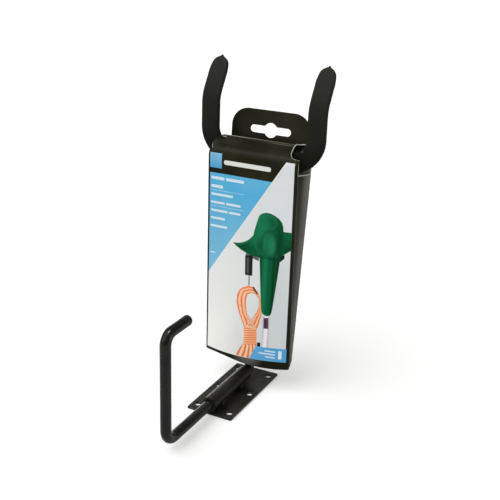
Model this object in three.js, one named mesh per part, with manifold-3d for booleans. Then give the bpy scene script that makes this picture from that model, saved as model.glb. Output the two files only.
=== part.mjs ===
// Wall-mounted swivel hanger: a flat wall plate with a welded pivot barrel, one round rod that is
// a cord hook in front, the pivot pin in the barrel and the stem behind it, and a two-tine fork
// with dipped grips. The stem and the crossbar are wrapped in a folded card sleeve with a hang tab,
// and a pouch of mounting screws sits inside the sleeve.
// Units are millimetres. +Z is away from the wall, +Y is up on the wall, X = 0 is the middle plane.
// The origin is the centre of the wall plate's face on the wall. Throughout, left is -X,
// front is -Y, back is +Y, and heights, tops and bottoms are along Z.

import * as THREE from 'three';
import { mergeVertices } from 'three/addons/utils/BufferGeometryUtils.js';
import Module from 'manifold-3d';

const wasm = await Module();
wasm.setup();

// ---------------------------------------------------------------- driving dimensions
// y values are from the plate's front edge and z values from its outer face, unless noted
const PLATE = {
  width: 38.1, length: 81.8, thickness: 1.6, cornerR: 1.6, holeR: 2.35, holeX: 13.8, holeInset: 7.5,
};
const ROD = { radius: 3.97, axisZ: 6.9, chamfer: 0.6 };
const BARREL = { outerR: 5.9, innerR: 4.2, length: 58.5 };
const HOOK = { reach: 60.45, rise: 83.2, returnLength: 30.1, topBendR: 8.2, lowBendR: 10.5 };
const STEM = { footY: 69.1, topY: 70.3, footBendR: 8.8, topZ: 184.4 };
const FORK = {
  barWidth: 12.7, barThickness: 3.2, y: 76.1,
  tineX: 44.3, cornerZ: 201.3, cornerR: 20,
  lean: 0.012, leanZ: 187,                            // backward slope, and the height it turns about
  tipBendZ: 218, tipBendR: 22, tipBend: rad(31), tipRun: 26.4,
  middleX: 6,                                         // last station of each half on the crossbar
};
const CROSSBAR_Z = FORK.cornerZ - FORK.cornerR;
const GRIP = {
  width: 14.8, thickness: 5.2, cornerR: 1.5, endX: 19,
  gap: 0.12,                                          // clearance round the bar
  overhang: 3.2,                                      // length past the bar's tip
};
const CARD = {
  thickness: 0.7, bottom: 19, top: 193.3, frontY: 60.6, topBackY: 90.6, frontHalfWidth: 37.3,
};
const POUCH = { x: -19.4, y: 71, bottom: 92, width: 27.6, depth: 18.6, height: 36, wall: 0.4 };
const SCREW = {
  headR: 3.9, headHeight: 2.6, shankR: 2.1, length: 25.4,
  pitchX: 8.8, pitchY: 8.8, lift: 0.6,                // lift is the clearance off the pouch floor
};

const plateY = (y) => y - PLATE.length / 2;
const plateZ = (z) => z + PLATE.thickness;

// ---------------------------------------------------------------- materials
const standard = (settings) => new THREE.MeshStandardMaterial(settings);
const blackPaint = () => standard({ color: 0x1a1a17, roughness: 0.38, metalness: 0.25 });
const dippedVinyl = () => standard({ color: 0x272823, roughness: 0.62, metalness: 0 });
const printedCard = () => standard({ color: 0x232420, roughness: 0.32, metalness: 0 });
const zincSteel = () => standard({ color: 0x9fa19c, roughness: 0.35, metalness: 0.9 });
const clearFilm = () => standard({ color: 0xd9dcdc, roughness: 0.2, metalness: 0 });

// ---------------------------------------------------------------- helpers
function rad(degrees) {
  return (degrees * Math.PI) / 180;
}

function lerp(from, to, share) {
  return from + (to - from) * share;
}

// straight-line lookup in rows of [input, output], held level past both ends
function lookUp(rows, value) {
  if (value <= rows[0][0]) return rows[0][1];
  for (let i = 1; i < rows.length; i++) {
    const [input0, output0] = rows[i - 1];
    const [input1, output1] = rows[i];
    if (value <= input1) return lerp(output0, output1, (value - input0) / (input1 - input0));
  }
  return rows[rows.length - 1][1];
}

// positions only, with shared vertices
function merged(geometry) {
  const bare = geometry.clone();
  bare.deleteAttribute('normal');
  bare.deleteAttribute('uv');
  return mergeVertices(bare, 1e-4);
}

function solid(geometry) {
  const shared = merged(geometry);
  return new wasm.Manifold(new wasm.Mesh({
    numProp: 3,
    vertProperties: new Float32Array(shared.attributes.position.array),
    triVerts: new Uint32Array(shared.index.array),
  }));
}

function geometryOf(manifold) {
  const mesh = manifold.getMesh();
  const geometry = new THREE.BufferGeometry();
  const positions = new Float32Array(mesh.vertProperties);
  geometry.setAttribute('position', new THREE.BufferAttribute(positions, 3));
  geometry.setIndex(new THREE.BufferAttribute(new Uint32Array(mesh.triVerts), 1));
  geometry.computeVertexNormals();
  return geometry;
}

// turns a closed indexed mesh so that its faces point out, by the sign of its volume
function facedOut(geometry) {
  const { position } = geometry.attributes;
  const index = geometry.index.array;
  const corner = (k) => new THREE.Vector3().fromBufferAttribute(position, index[k]);
  let volume = 0;
  for (let k = 0; k < index.length; k += 3) {
    volume += corner(k).dot(corner(k + 1).cross(corner(k + 2)));
  }
  if (volume < 0) {
    for (let k = 0; k < index.length; k += 3) {
      [index[k], index[k + 2]] = [index[k + 2], index[k]];
    }
  }
  geometry.computeVertexNormals();
  return geometry;
}

// moves every vertex to place(x, y, z) and tidies the mesh
function reshaped(geometry, place) {
  const p = geometry.attributes.position;
  for (let k = 0; k < p.count; k++) {
    p.setXYZ(k, ...place(p.getX(k), p.getY(k), p.getZ(k)));
  }
  return facedOut(merged(geometry));
}

// a closed section carried through stations: place(i, x, y) returns the point for station i
function sweep(shape, stationCount, place, curveSegments = 12) {
  const steps = stationCount - 1;
  const geometry = new THREE.ExtrudeGeometry(shape, {
    depth: 1, steps, bevelEnabled: false, curveSegments,
  });
  return reshaped(geometry, (x, y, z) => place(Math.round(z * steps), x, y));
}

function circle(radius, sides) {
  const points = [];
  for (let i = 0; i < sides; i++) {
    const angle = (i / sides) * 2 * Math.PI;
    points.push(new THREE.Vector2(radius * Math.cos(angle), radius * Math.sin(angle)));
  }
  const shape = new THREE.Shape(points);
  shape.closePath();
  return shape;
}

function roundedRect(width, height, radius) {
  const [right, top] = [width / 2, height / 2];
  const shape = new THREE.Shape();
  shape.moveTo(-right + radius, -top);
  shape.lineTo(right - radius, -top);
  shape.absarc(right - radius, -top + radius, radius, -Math.PI / 2, 0);
  shape.lineTo(right, top - radius);
  shape.absarc(right - radius, top - radius, radius, 0, Math.PI / 2);
  shape.lineTo(-right + radius, top);
  shape.absarc(-right + radius, top - radius, radius, Math.PI / 2, Math.PI);
  shape.lineTo(-right, -top + radius);
  shape.absarc(-right + radius, -top + radius, radius, Math.PI, 1.5 * Math.PI);
  return shape;
}

// section of a weld bead between a round part centred on the origin and a flat at y = flatY;
// sign is the side of the round part that the flat is on, control is [x past the contact, y]
function beadSection({ radius, arc, sign, flatY, control, toeX }) {
  const arcSteps = 6;
  const [start, end] = arc;
  const contactX = radius * Math.sin(end);
  const shape = new THREE.Shape();
  shape.moveTo(radius * Math.sin(start), flatY);
  for (let k = 0; k <= arcSteps; k++) {
    const angle = lerp(start, end, k / arcSteps);
    shape.lineTo(radius * Math.sin(angle), sign * radius * Math.cos(angle));
  }
  shape.quadraticCurveTo(contactX + control[0], control[1], contactX + toeX, flatY);
  shape.closePath();
  return shape;
}

// ---------------------------------------------------------------- wall plate
function wallPlate() {
  const shape = roundedRect(PLATE.width, PLATE.length, PLATE.cornerR);
  const endY = plateY(PLATE.holeInset);
  for (const x of [-PLATE.holeX, PLATE.holeX]) {
    for (const y of [endY, 0, -endY]) {
      const hole = new THREE.Path();
      hole.absarc(x, y, PLATE.holeR, 0, 2 * Math.PI, true);
      shape.holes.push(hole);
    }
  }
  return new THREE.ExtrudeGeometry(shape, {
    depth: PLATE.thickness, bevelEnabled: false, curveSegments: 10,
  });
}

// ---------------------------------------------------------------- pivot barrel
// a plain tube along +Y from its own origin
function pivotBarrel() {
  const shape = circle(BARREL.outerR, 48);
  shape.holes.push(circle(BARREL.innerR, 48));
  const geometry = new THREE.ExtrudeGeometry(shape, { depth: BARREL.length, bevelEnabled: false });
  geometry.rotateX(-Math.PI / 2);
  return geometry;
}

// weld stitch between the barrel and the plate; section x is outwards, y is along Z from the axis
const STITCH = {
  length: 9, starts: { lower: 13, upper: 44 },
  gap: 0.06, arc: [rad(18), rad(56)], bulgeX: 1.35, bulgeDrop: 1.2, toeX: 1.2,
  root: [3.15, -6.4], endScale: 0.28,                 // the ends shrink towards the root
};
function barrelWeld(side, startY) {
  const steps = 6;
  const radius = BARREL.outerR + STITCH.gap;
  const flatY = STITCH.gap - ROD.axisZ;
  const section = beadSection({
    radius,
    arc: STITCH.arc,
    sign: -1,
    flatY,
    control: [STITCH.bulgeX, -radius * Math.cos(STITCH.arc[1]) - STITCH.bulgeDrop],
    toeX: STITCH.toeX,
  });
  const [rootX, rootY] = STITCH.root;
  return sweep(section, steps + 1, (i, x, y) => {
    const share = i / steps;
    const fullness = Math.sqrt(Math.max(0, 1 - Math.pow(Math.abs(2 * share - 1), 3)));
    const scale = fullness * (1 - STITCH.endScale) + STITCH.endScale;
    return [
      side * (rootX + (x - rootX) * scale),
      plateY(startY + STITCH.length * share),
      plateZ(ROD.axisZ) + Math.max(flatY, rootY + (y - rootY) * scale),
    ];
  }, 5);
}

// ---------------------------------------------------------------- swivel rod
// points and directions along the rod's centreline, as vectors of (y, z)
function rodStations() {
  const bendSteps = 10;
  const hookZ = ROD.axisZ + HOOK.rise;
  const corners = [
    // y, z, bend radius
    [-HOOK.reach + HOOK.returnLength, hookZ, 0],
    [-HOOK.reach, hookZ, HOOK.topBendR],
    [-HOOK.reach, ROD.axisZ, HOOK.lowBendR],
    [STEM.footY, ROD.axisZ, STEM.footBendR],
    [STEM.topY, STEM.topZ, 0],
  ];
  const points = corners.map(([y, z]) => new THREE.Vector2(y, z));
  const last = points.length - 1;
  const leg = (i) => points[i + 1].clone().sub(points[i]).normalize();
  const origin = new THREE.Vector2();
  const endScale = 1 - ROD.chamfer / ROD.radius;
  const stations = [];
  const put = (point, direction, scale = 1) => stations.push({ point, direction, scale });

  put(points[0], leg(0), endScale);
  put(points[0].clone().addScaledVector(leg(0), ROD.chamfer), leg(0));
  for (let i = 1; i < last; i++) {
    const before = leg(i - 1);
    const after = leg(i);
    const turn = Math.atan2(before.cross(after), before.dot(after));
    const radius = corners[i][2];
    const start = points[i].clone().addScaledVector(before, -radius * Math.tan(Math.abs(turn) / 2));
    const inwards = new THREE.Vector2(-before.y, before.x).multiplyScalar(Math.sign(turn));
    const centre = start.clone().addScaledVector(inwards, radius);
    for (let k = 0; k <= bendSteps; k++) {
      const angle = (turn * k) / bendSteps;
      put(start.clone().rotateAround(centre, angle), before.clone().rotateAround(origin, angle));
    }
  }
  put(points[last].clone().addScaledVector(leg(last - 1), -ROD.chamfer), leg(last - 1));
  put(points[last], leg(last - 1), endScale);
  return stations;
}

function swivelRod() {
  const stations = rodStations();
  return sweep(circle(ROD.radius, 28), stations.length, (i, x, y) => {
    const { point, direction, scale } = stations[i];
    return [
      x * scale,
      plateY(point.x) - direction.y * y * scale,
      plateZ(point.y) + direction.x * y * scale,
    ];
  });
}

// ---------------------------------------------------------------- fork
// distance from the tip, share of the full width
const TIP_WIDTH = [
  [0, 0.1], [0.8, 0.27], [2, 0.52], [3.2, 0.68], [4.8, 0.81], [6.5, 0.885], [8.7, 0.94], [12, 1],
];
const TIP_ROWS = TIP_WIDTH.map(([distance]) => distance);
const INNER_TIP_ROWS = TIP_ROWS.slice(1);             // for the bar and the grips' hollows

// right half of the fork's centreline, from the tip inwards to endX on the crossbar; the tip is
// cut short by tipCut, and fromTip is Infinity where the tip's rounding no longer counts
function forkHalf(tipCut, endX, tipRows) {
  const bendSteps = 5;
  const cornerSteps = 9;
  const { tineX, cornerR, cornerZ, tipBend, tipBendR, tipBendZ } = FORK;
  const stations = [];
  const put = (x, y, z, along, fromTip = Infinity) => {
    stations.push({ x, y: y + (z - FORK.leanZ) * FORK.lean, z, along, fromTip });
  };
  const bendPoint = (angle) => [
    FORK.y + tipBendR * (1 - Math.cos(angle)),
    tipBendZ + tipBendR * Math.sin(angle),
  ];
  const tineDirection = (angle) => [0, -Math.sin(angle), -Math.cos(angle)];

  const [bendTopY, bendTopZ] = bendPoint(tipBend);
  for (const fromTip of tipRows) {
    const run = FORK.tipRun - tipCut - fromTip;
    const y = bendTopY + Math.sin(tipBend) * run;
    const z = bendTopZ + Math.cos(tipBend) * run;
    put(tineX, y, z, tineDirection(tipBend), fromTip);
  }
  for (let k = 0; k <= bendSteps; k++) {
    const angle = tipBend * (1 - k / bendSteps);
    put(tineX, ...bendPoint(angle), tineDirection(angle));
  }
  for (let k = 0; k <= cornerSteps; k++) {
    const angle = rad(90) * (k / cornerSteps);
    const x = tineX - cornerR + cornerR * Math.cos(angle);
    const z = cornerZ - cornerR * Math.sin(angle);
    put(x, FORK.y, z, [-Math.sin(angle), 0, -Math.cos(angle)]);
  }
  put(endX, FORK.y, CROSSBAR_Z, [-1, 0, 0]);
  return stations;
}

// a rounded bar section along fork stations. Its width lies in the XZ plane and its thickness is
// square to that and to the path. tipShift widens the tip; thinTip also tapers its thickness.
function sweepFork(stations, options) {
  const { width, thickness, cornerR, tipShift, thinTip = false, side = 1, segments = 1 } = options;
  const section = roundedRect(width, thickness, cornerR);
  return sweep(section, stations.length, (i, sectionX, sectionY) => {
    const { x, y, z, along, fromTip } = stations[i];
    const [alongX, alongY, alongZ] = along;
    const planLength = Math.hypot(alongX, alongZ);
    const wideX = -alongZ / planLength;
    const wideZ = alongX / planLength;
    const thick = [alongY * wideZ, alongZ * wideX - alongX * wideZ, -alongY * wideX];
    const across = sectionX * lookUp(TIP_WIDTH, fromTip + tipShift);
    const through = sectionY * (thinTip ? Math.min(1, 0.32 + fromTip / 4.5) : 1);
    return [
      side * (x + wideX * across + thick[0] * through),
      plateY(y + thick[1] * through),
      plateZ(z + wideZ * across + thick[2] * through),
    ];
  }, segments);
}

// the bare steel bar, one piece from the right tip to the left tip
function forkBar() {
  const right = forkHalf(GRIP.overhang, FORK.middleX, INNER_TIP_ROWS);
  // the left half is mirrored and runs the other way, out to its tip
  const left = right.map((station) => {
    const [alongX, alongY, alongZ] = station.along;
    return { ...station, x: -station.x, along: [alongX, -alongY, -alongZ] };
  });
  return sweepFork([...right, ...left.reverse()], {
    width: FORK.barWidth, thickness: FORK.barThickness, cornerR: 0.5, tipShift: 0.5,
  });
}

// dipped grip: a thick skin over a tine and its shoulder, open towards the middle of the crossbar
function grip(side) {
  const openingRun = 4;                               // the hollow runs this far out of the open end
  const body = sweepFork(forkHalf(0, GRIP.endX, TIP_ROWS), {
    width: GRIP.width,
    thickness: GRIP.thickness,
    cornerR: GRIP.cornerR,
    tipShift: 0,
    thinTip: true,
    side,
    segments: 2,
  });
  const hollowStations = forkHalf(
    GRIP.overhang - GRIP.gap,
    GRIP.endX - openingRun,
    INNER_TIP_ROWS,
  );
  const hollow = sweepFork(hollowStations, {
    width: FORK.barWidth + 2 * GRIP.gap,
    thickness: FORK.barThickness + 2 * GRIP.gap,
    cornerR: 0.5,
    tipShift: 0.56,
    side,
  });
  return geometryOf(solid(body).subtract(solid(hollow)));
}

// weld bead between the stem and the crossbar; section x is outwards, y is along Y from the stem
const STEM_WELD = {
  stemGap: 0.08, barGap: 0.19, arc: [rad(20), rad(62)], bulgeX: 1.1, bulgeDrop: 0.9, toeX: 1.3,
  belowBarCentre: 5.4, belowStemTop: 0.8,
};
function stemWeld(side) {
  const flatY = FORK.y - STEM_WELD.barGap - FORK.barThickness / 2 - STEM.topY;
  const section = beadSection({
    radius: ROD.radius + STEM_WELD.stemGap,
    arc: STEM_WELD.arc,
    sign: 1,
    flatY,
    control: [STEM_WELD.bulgeX, flatY - STEM_WELD.bulgeDrop],
    toeX: STEM_WELD.toeX,
  });
  const ends = [CROSSBAR_Z - STEM_WELD.belowBarCentre, STEM.topZ - STEM_WELD.belowStemTop];
  return sweep(section, 2, (i, x, y) => [side * x, plateY(STEM.topY + y), plateZ(ends[i])], 4);
}

// ---------------------------------------------------------------- card sleeve
// A slice at height z is a closed outline: bowed front, slanted sides, flat back.
// height, y of the front panel, which folds back into the roof
const CARD_FRONT = [
  [CARD.bottom, CARD.frontY], [182, CARD.frontY], [185, 61.2], [187.4, 62.9], [189.4, 65.9],
  [191, 70], [192.3, 74.8], [CARD.top, 80],
];
// height, y of the back panel
const CARD_BACK = [[CARD.bottom, 74.6], [171.5, 88.4], [CARD.top, CARD.topBackY]];
// height, half width of the back panel
const CARD_BACK_HALF = [[CARD.bottom, 34.2], [172, 36.5], [CARD.top, 36.6]];
// place across the front from -1 to 1, drop of the front's bottom edge
const CARD_SAG = [[-1, -0.2], [-0.7, -0.9], [-0.4, -0.7], [0, 0.9], [0.4, 1.6], [0.7, 1.5], [1, 0.9]];
const CARD_LEVELS = [
  CARD.bottom, 26, 36, 50, 66, 84, 104, 126, 150, 172, 182, 185, 187.4, 189.4, 191, 192.3, CARD.top,
];
const CARD_BOW = { depth: 7.4, height: 120, power: 1.6 };  // deepest at the bottom, fades upwards

function cardBow(z) {
  const fade = Math.max(0, 1 - (z - CARD.bottom) / CARD_BOW.height);
  return CARD_BOW.depth * Math.pow(fade, CARD_BOW.power);
}

// the sleeve's filled form, set in by inset, with each level's height moved by levelZ
function cardForm(inset, levelZ) {
  const frontSteps = 14;
  // section x runs across from -1 to 1, y is 0 on the front and 1 on the back
  const section = new THREE.Shape();
  section.moveTo(-1, 0);
  for (let i = 1; i <= frontSteps; i++) section.lineTo(-1 + (2 * i) / frontSteps, 0);
  section.lineTo(1, 1);
  section.lineTo(-1, 1);
  section.closePath();
  return solid(sweep(section, CARD_LEVELS.length, (i, across, back) => {
    const z = CARD_LEVELS[i];
    if (back > 0.5) {
      const half = lookUp(CARD_BACK_HALF, z) - inset;
      return [across * half, plateY(lookUp(CARD_BACK, z) - inset), plateZ(levelZ(z))];
    }
    const y = lookUp(CARD_FRONT, z) - cardBow(z) * (1 - across * across) + inset;
    const sag = i === 0 ? lookUp(CARD_SAG, across) : 0;
    return [across * (CARD.frontHalfWidth - inset), plateY(y), plateZ(levelZ(z) - sag)];
  }));
}

// folded shell, open at the bottom and closed by the roof
function cardShell() {
  const openingRun = 4;
  const roofFromZ = 187;
  const roofThickness = CARD.thickness * 1.15;
  const hollowZ = (z) => {
    if (z <= CARD.bottom) return CARD.bottom - openingRun;
    return z >= roofFromZ ? z - roofThickness : z;
  };
  return cardForm(0, (z) => z).subtract(cardForm(CARD.thickness, hollowZ));
}

// side window that lets a shoulder of the crossbar out; its sill slopes down to the back
const WINDOW = { frontY: 62.4, backY: 87.6, frontSill: 176.6, backSill: 171.8, top: 199 };
// x, y seen along Z: front corner, round the lip on the roof, back corner
const WINDOW_OUTLINE = [
  [42, WINDOW.frontY], [36.4, 62.5], [34, 63.4], [31.8, 65.4], [30, 68], [28.2, 70.4],
  [27, 72.4], [26.8, 79.4], [28.4, 83.6], [31.4, 86.4], [34, 87.4], [42, WINDOW.backY],
];
function windowCutter(side) {
  const { frontY, backY, frontSill, backSill, top } = WINDOW;
  const outline = new THREE.Shape(WINDOW_OUTLINE.map(([x, y]) => new THREE.Vector2(x, y)));
  const geometry = new THREE.ExtrudeGeometry(outline, { depth: 1, bevelEnabled: false });
  return solid(reshaped(geometry, (x, y, z) => {
    const sill = lerp(frontSill, backSill, (y - frontY) / (backY - frontY));
    return [side * x, plateY(y), plateZ(z < 0.5 ? sill : top)];
  }));
}

// hang tab, a plain sheet that grows out of the back panel and leans back with it
const TAB = { halfWidth: 33.3, bottom: 192, top: 214.9, cornerR: 14, lean: Math.tan(rad(5.7)) };
const SLOT = { z: 199.9, halfLength: 17, barR: 3, roundR: 6 };

// round-and-bar hanging slot, drawn in x and z
function tabSlot() {
  const { z, halfLength, barR, roundR } = SLOT;
  const meet = Math.asin(barR / roundR);
  const slot = new THREE.Path();
  slot.moveTo(halfLength, z - barR);
  slot.absarc(halfLength - barR, z, barR, -Math.PI / 2, Math.PI / 2);
  slot.absarc(0, z, roundR, meet, Math.PI - meet);
  slot.absarc(-halfLength + barR, z, barR, Math.PI / 2, 1.5 * Math.PI);
  slot.absarc(0, z, roundR, Math.PI + meet, 2 * Math.PI - meet);
  slot.closePath();
  return slot;
}

function hangTab() {
  const { halfWidth, bottom, top, cornerR, lean } = TAB;
  const shape = new THREE.Shape();
  shape.moveTo(-halfWidth, bottom);
  shape.lineTo(halfWidth, bottom);
  shape.lineTo(halfWidth, top - cornerR);
  shape.absarc(halfWidth - cornerR, top - cornerR, cornerR, 0, Math.PI / 2);
  shape.lineTo(-halfWidth + cornerR, top);
  shape.absarc(-halfWidth + cornerR, top - cornerR, cornerR, Math.PI / 2, Math.PI);
  shape.closePath();
  shape.holes.push(tabSlot());
  const geometry = new THREE.ExtrudeGeometry(shape, {
    depth: CARD.thickness, bevelEnabled: false, curveSegments: 8,
  });
  return solid(reshaped(geometry, (x, height, depth) => {
    const backY = CARD.topBackY + (height - CARD.top) * lean;
    return [x, plateY(backY) - depth, plateZ(height)];
  }));
}

function cardSleeve() {
  const shell = cardShell().subtract(windowCutter(-1)).subtract(windowCutter(1));
  return geometryOf(shell.add(hangTab()));
}

// ---------------------------------------------------------------- screw pouch and screws
// a block the size of the pouch, set in at the sides and raised by the same amount
function pouchBlock(inset) {
  const { width, depth, height } = POUCH;
  const block = new THREE.BoxGeometry(width - 2 * inset, depth - 2 * inset, height);
  block.translate(POUCH.x, plateY(POUCH.y), plateZ(POUCH.bottom + height / 2 + inset));
  return solid(block);
}

function screwPouch() {
  return geometryOf(pouchBlock(0).subtract(pouchBlock(POUCH.wall)));
}

// screw along +Z with its point at its own origin
function mountingScrew() {
  const { headR, headHeight, shankR, length } = SCREW;
  const threadR = shankR * 0.86;
  // radius, height from the point
  const profile = [
    [0, 0], [threadR, 4.2], [threadR, length - 9], [shankR, length - 8.2], [shankR, length],
    [headR, length], [headR, length + 0.7], [headR * 0.8, length + 2.1],
    [headR * 0.45, length + headHeight], [0, length + headHeight],
  ];
  const points = profile.map(([radius, height]) => new THREE.Vector2(radius, height));
  const geometry = new THREE.LatheGeometry(points, 14);
  geometry.rotateX(Math.PI / 2);
  return facedOut(merged(geometry));
}

// ---------------------------------------------------------------- assembly
const SIDES = [['left', -1], ['right', 1]];
const group = new THREE.Group();

function add(name, geometry, material, position = [0, 0, 0]) {
  const mesh = new THREE.Mesh(geometry, material);
  mesh.name = name;
  mesh.position.set(...position);
  group.add(mesh);
}

function addScrews() {
  const z = plateZ(POUCH.bottom + POUCH.wall + SCREW.lift);
  let number = 0;
  for (const row of [-0.5, 0.5]) {
    for (const column of [-1, 0, 1]) {
      number += 1;
      const x = POUCH.x + column * SCREW.pitchX;
      const y = plateY(POUCH.y + row * SCREW.pitchY);
      add(`mounting_screw_${number}`, mountingScrew(), zincSteel(), [x, y, z]);
    }
  }
}

add('wall_plate', wallPlate(), blackPaint());
add('pivot_barrel', pivotBarrel(), blackPaint(), [0, plateY(0), plateZ(ROD.axisZ)]);
for (const [sideName, side] of SIDES) {
  for (const [level, startY] of Object.entries(STITCH.starts)) {
    add(`barrel_weld_${sideName}_${level}`, barrelWeld(side, startY), blackPaint());
  }
}
add('swivel_rod', swivelRod(), blackPaint());
add('fork_bar', forkBar(), blackPaint());
for (const [sideName, side] of SIDES) add(`grip_${sideName}`, grip(side), dippedVinyl());
for (const [sideName, side] of SIDES) add(`stem_weld_${sideName}`, stemWeld(side), blackPaint());
add('card_sleeve', cardSleeve(), printedCard());
add('screw_pouch', screwPouch(), clearFilm());
addScrews();

export default group;
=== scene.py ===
"""Swivelling wall holder on its printed card sleeve, with a pouch of six screws.

The wall plate lies flat, outer face up, with the pivot barrel along y on top of it. The bent
swivel rod runs through the barrel and carries the fork, the sleeve and the pouch.
In the row frame x runs right, y to the back and z up; the camera looks from the front right.
"""
import math
from functools import reduce
from operator import add, and_

import bmesh
import bpy
import numpy as np
from mathutils import Matrix, Vector, noise
from mathutils.geometry import delaunay_2d_cdt


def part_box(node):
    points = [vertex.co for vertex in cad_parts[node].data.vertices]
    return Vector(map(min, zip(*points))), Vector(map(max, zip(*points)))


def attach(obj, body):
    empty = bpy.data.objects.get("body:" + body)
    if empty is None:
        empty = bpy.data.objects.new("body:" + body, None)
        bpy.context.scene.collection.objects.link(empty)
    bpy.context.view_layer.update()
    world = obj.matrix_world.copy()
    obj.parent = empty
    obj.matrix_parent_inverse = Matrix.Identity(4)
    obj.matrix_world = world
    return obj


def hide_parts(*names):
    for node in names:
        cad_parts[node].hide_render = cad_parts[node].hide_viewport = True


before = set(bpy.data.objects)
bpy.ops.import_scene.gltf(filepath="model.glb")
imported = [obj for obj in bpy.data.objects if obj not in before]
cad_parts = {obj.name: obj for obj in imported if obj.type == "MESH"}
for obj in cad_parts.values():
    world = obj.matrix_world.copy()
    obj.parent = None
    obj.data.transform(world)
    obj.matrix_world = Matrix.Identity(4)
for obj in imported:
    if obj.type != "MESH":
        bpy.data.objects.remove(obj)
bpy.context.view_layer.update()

# ------------------------------------------------------------------ frame and shared sizes
# Plan sizes are millimetres: x from the middle plane, y from the wall plate's front edge,
# z from the plate's outer face. Adding ORIGIN (metres) puts them in the row frame.
MM = 0.001
plate_lo, plate_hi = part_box("wall_plate")
ORIGIN = (0.0, plate_lo.y, plate_hi.z)
ORIGIN_Y_MM = plate_lo.y / MM
ORIGIN_Z_MM = plate_hi.z / MM

BARREL_Z = 6.9                        # axis shared by the barrel, its welds and the rod
BARREL_RADIUS = 5.9
SLEEVE_FRONT_Y = 60.6                 # front panel, before it bows out
PIP_X, PIP_Z = 34.4, 191.7            # small raised mark on the front of each grip


def lerp(start, end, share):
    return start + (end - start) * share


def clamp(value):
    return min(1.0, max(0.0, value))


def ease(share):
    return share * share * (3 - 2 * share)


def interp(table, value):
    """Straight-line reading of a table of (place, size) rows."""
    return float(np.interp(value, *np.transpose(table)))


def smooth(table, value):
    """Monotone cubic through a table's (place, size) rows, so a profile has no kinks."""
    places, sizes = np.transpose(table)
    gaps = np.diff(places)
    slopes = np.diff(sizes) / gaps
    tangents = np.zeros(len(places))
    tangents[0], tangents[-1] = slopes[0], slopes[-1]
    for i in range(1, len(places) - 1):
        if slopes[i - 1] * slopes[i] > 0:
            before, after = 2 * gaps[i] + gaps[i - 1], gaps[i] + 2 * gaps[i - 1]
            tangents[i] = (before + after) / (before / slopes[i - 1] + after / slopes[i])
    value = np.clip(value, places[0], places[-1])
    i = min(np.searchsorted(places, value, side="right") - 1, len(gaps) - 1)
    part = (value - places[i]) / gaps[i]
    square, cube = part**2, part**3
    return float((2 * cube - 3 * square + 1) * sizes[i]
                 + (cube - 2 * square + part) * gaps[i] * tangents[i]
                 + (-2 * cube + 3 * square) * sizes[i + 1]
                 + (cube - square) * gaps[i] * tangents[i + 1])


def sweep(start, turn, steps):
    return [start + turn * k / steps for k in range(steps + 1)]


def quarter_turn(steps):
    """(sine, cosine) of even steps from 0 to 90 degrees."""
    return [(math.sin(angle), math.cos(angle)) for angle in sweep(0, math.pi / 2, steps)]


def arc(centre, radius, angles):
    return [(centre[0] + radius * math.cos(angle), centre[1] + radius * math.sin(angle))
            for angle in angles]


def wobble(point, scale, amount, seed=0.0):
    """A small, fixed, smooth offset at a point in millimetres."""
    x, y, z = point
    place = Vector((x * scale + seed, y * scale - seed * 0.7, z * scale + seed * 0.3))
    return noise.noise(place) * amount


# ------------------------------------------------------------------ shader building
def srgb(*channels):
    """Linear colour from 0-255 screen values."""
    shares = [c / 255 for c in channels]
    return tuple(c / 12.92 if c <= 0.04045 else ((c + 0.055) / 1.055) ** 2.4 for c in shares)


def math_operator(kind, swapped=False):
    def build(*operands):
        return operands[0].shader.calc(kind, *(operands[::-1] if swapped else operands))
    return build


class Signal:
    """A shader value; arithmetic on it adds Math nodes. & is the overlap of two distances."""

    __add__ = math_operator("ADD")
    __sub__ = math_operator("SUBTRACT")
    __rsub__ = math_operator("SUBTRACT", swapped=True)
    __mul__ = math_operator("MULTIPLY")
    __truediv__ = math_operator("DIVIDE")
    __pow__ = math_operator("POWER")
    __abs__ = math_operator("ABSOLUTE")
    __and__ = maximum = math_operator("MAXIMUM")
    minimum = math_operator("MINIMUM")
    sine = math_operator("SINE")
    sqrt = math_operator("SQRT")
    scaled = math_operator("MULTIPLY_ADD")           # scaled(factor, plus)

    def __init__(self, shader, socket):
        self.shader, self.socket = shader, socket

    def ramp(self, over, to=(0.0, 1.0)):
        """Smooth step between the two values of `to` while the signal crosses `over`."""
        inputs = dict(enumerate((self, *over, *to)))
        return self.shader.node("MapRange", inputs, interpolation_type="SMOOTHSTEP")


def length(*parts):
    return reduce(add, [part * part for part in parts]).sqrt()


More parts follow.
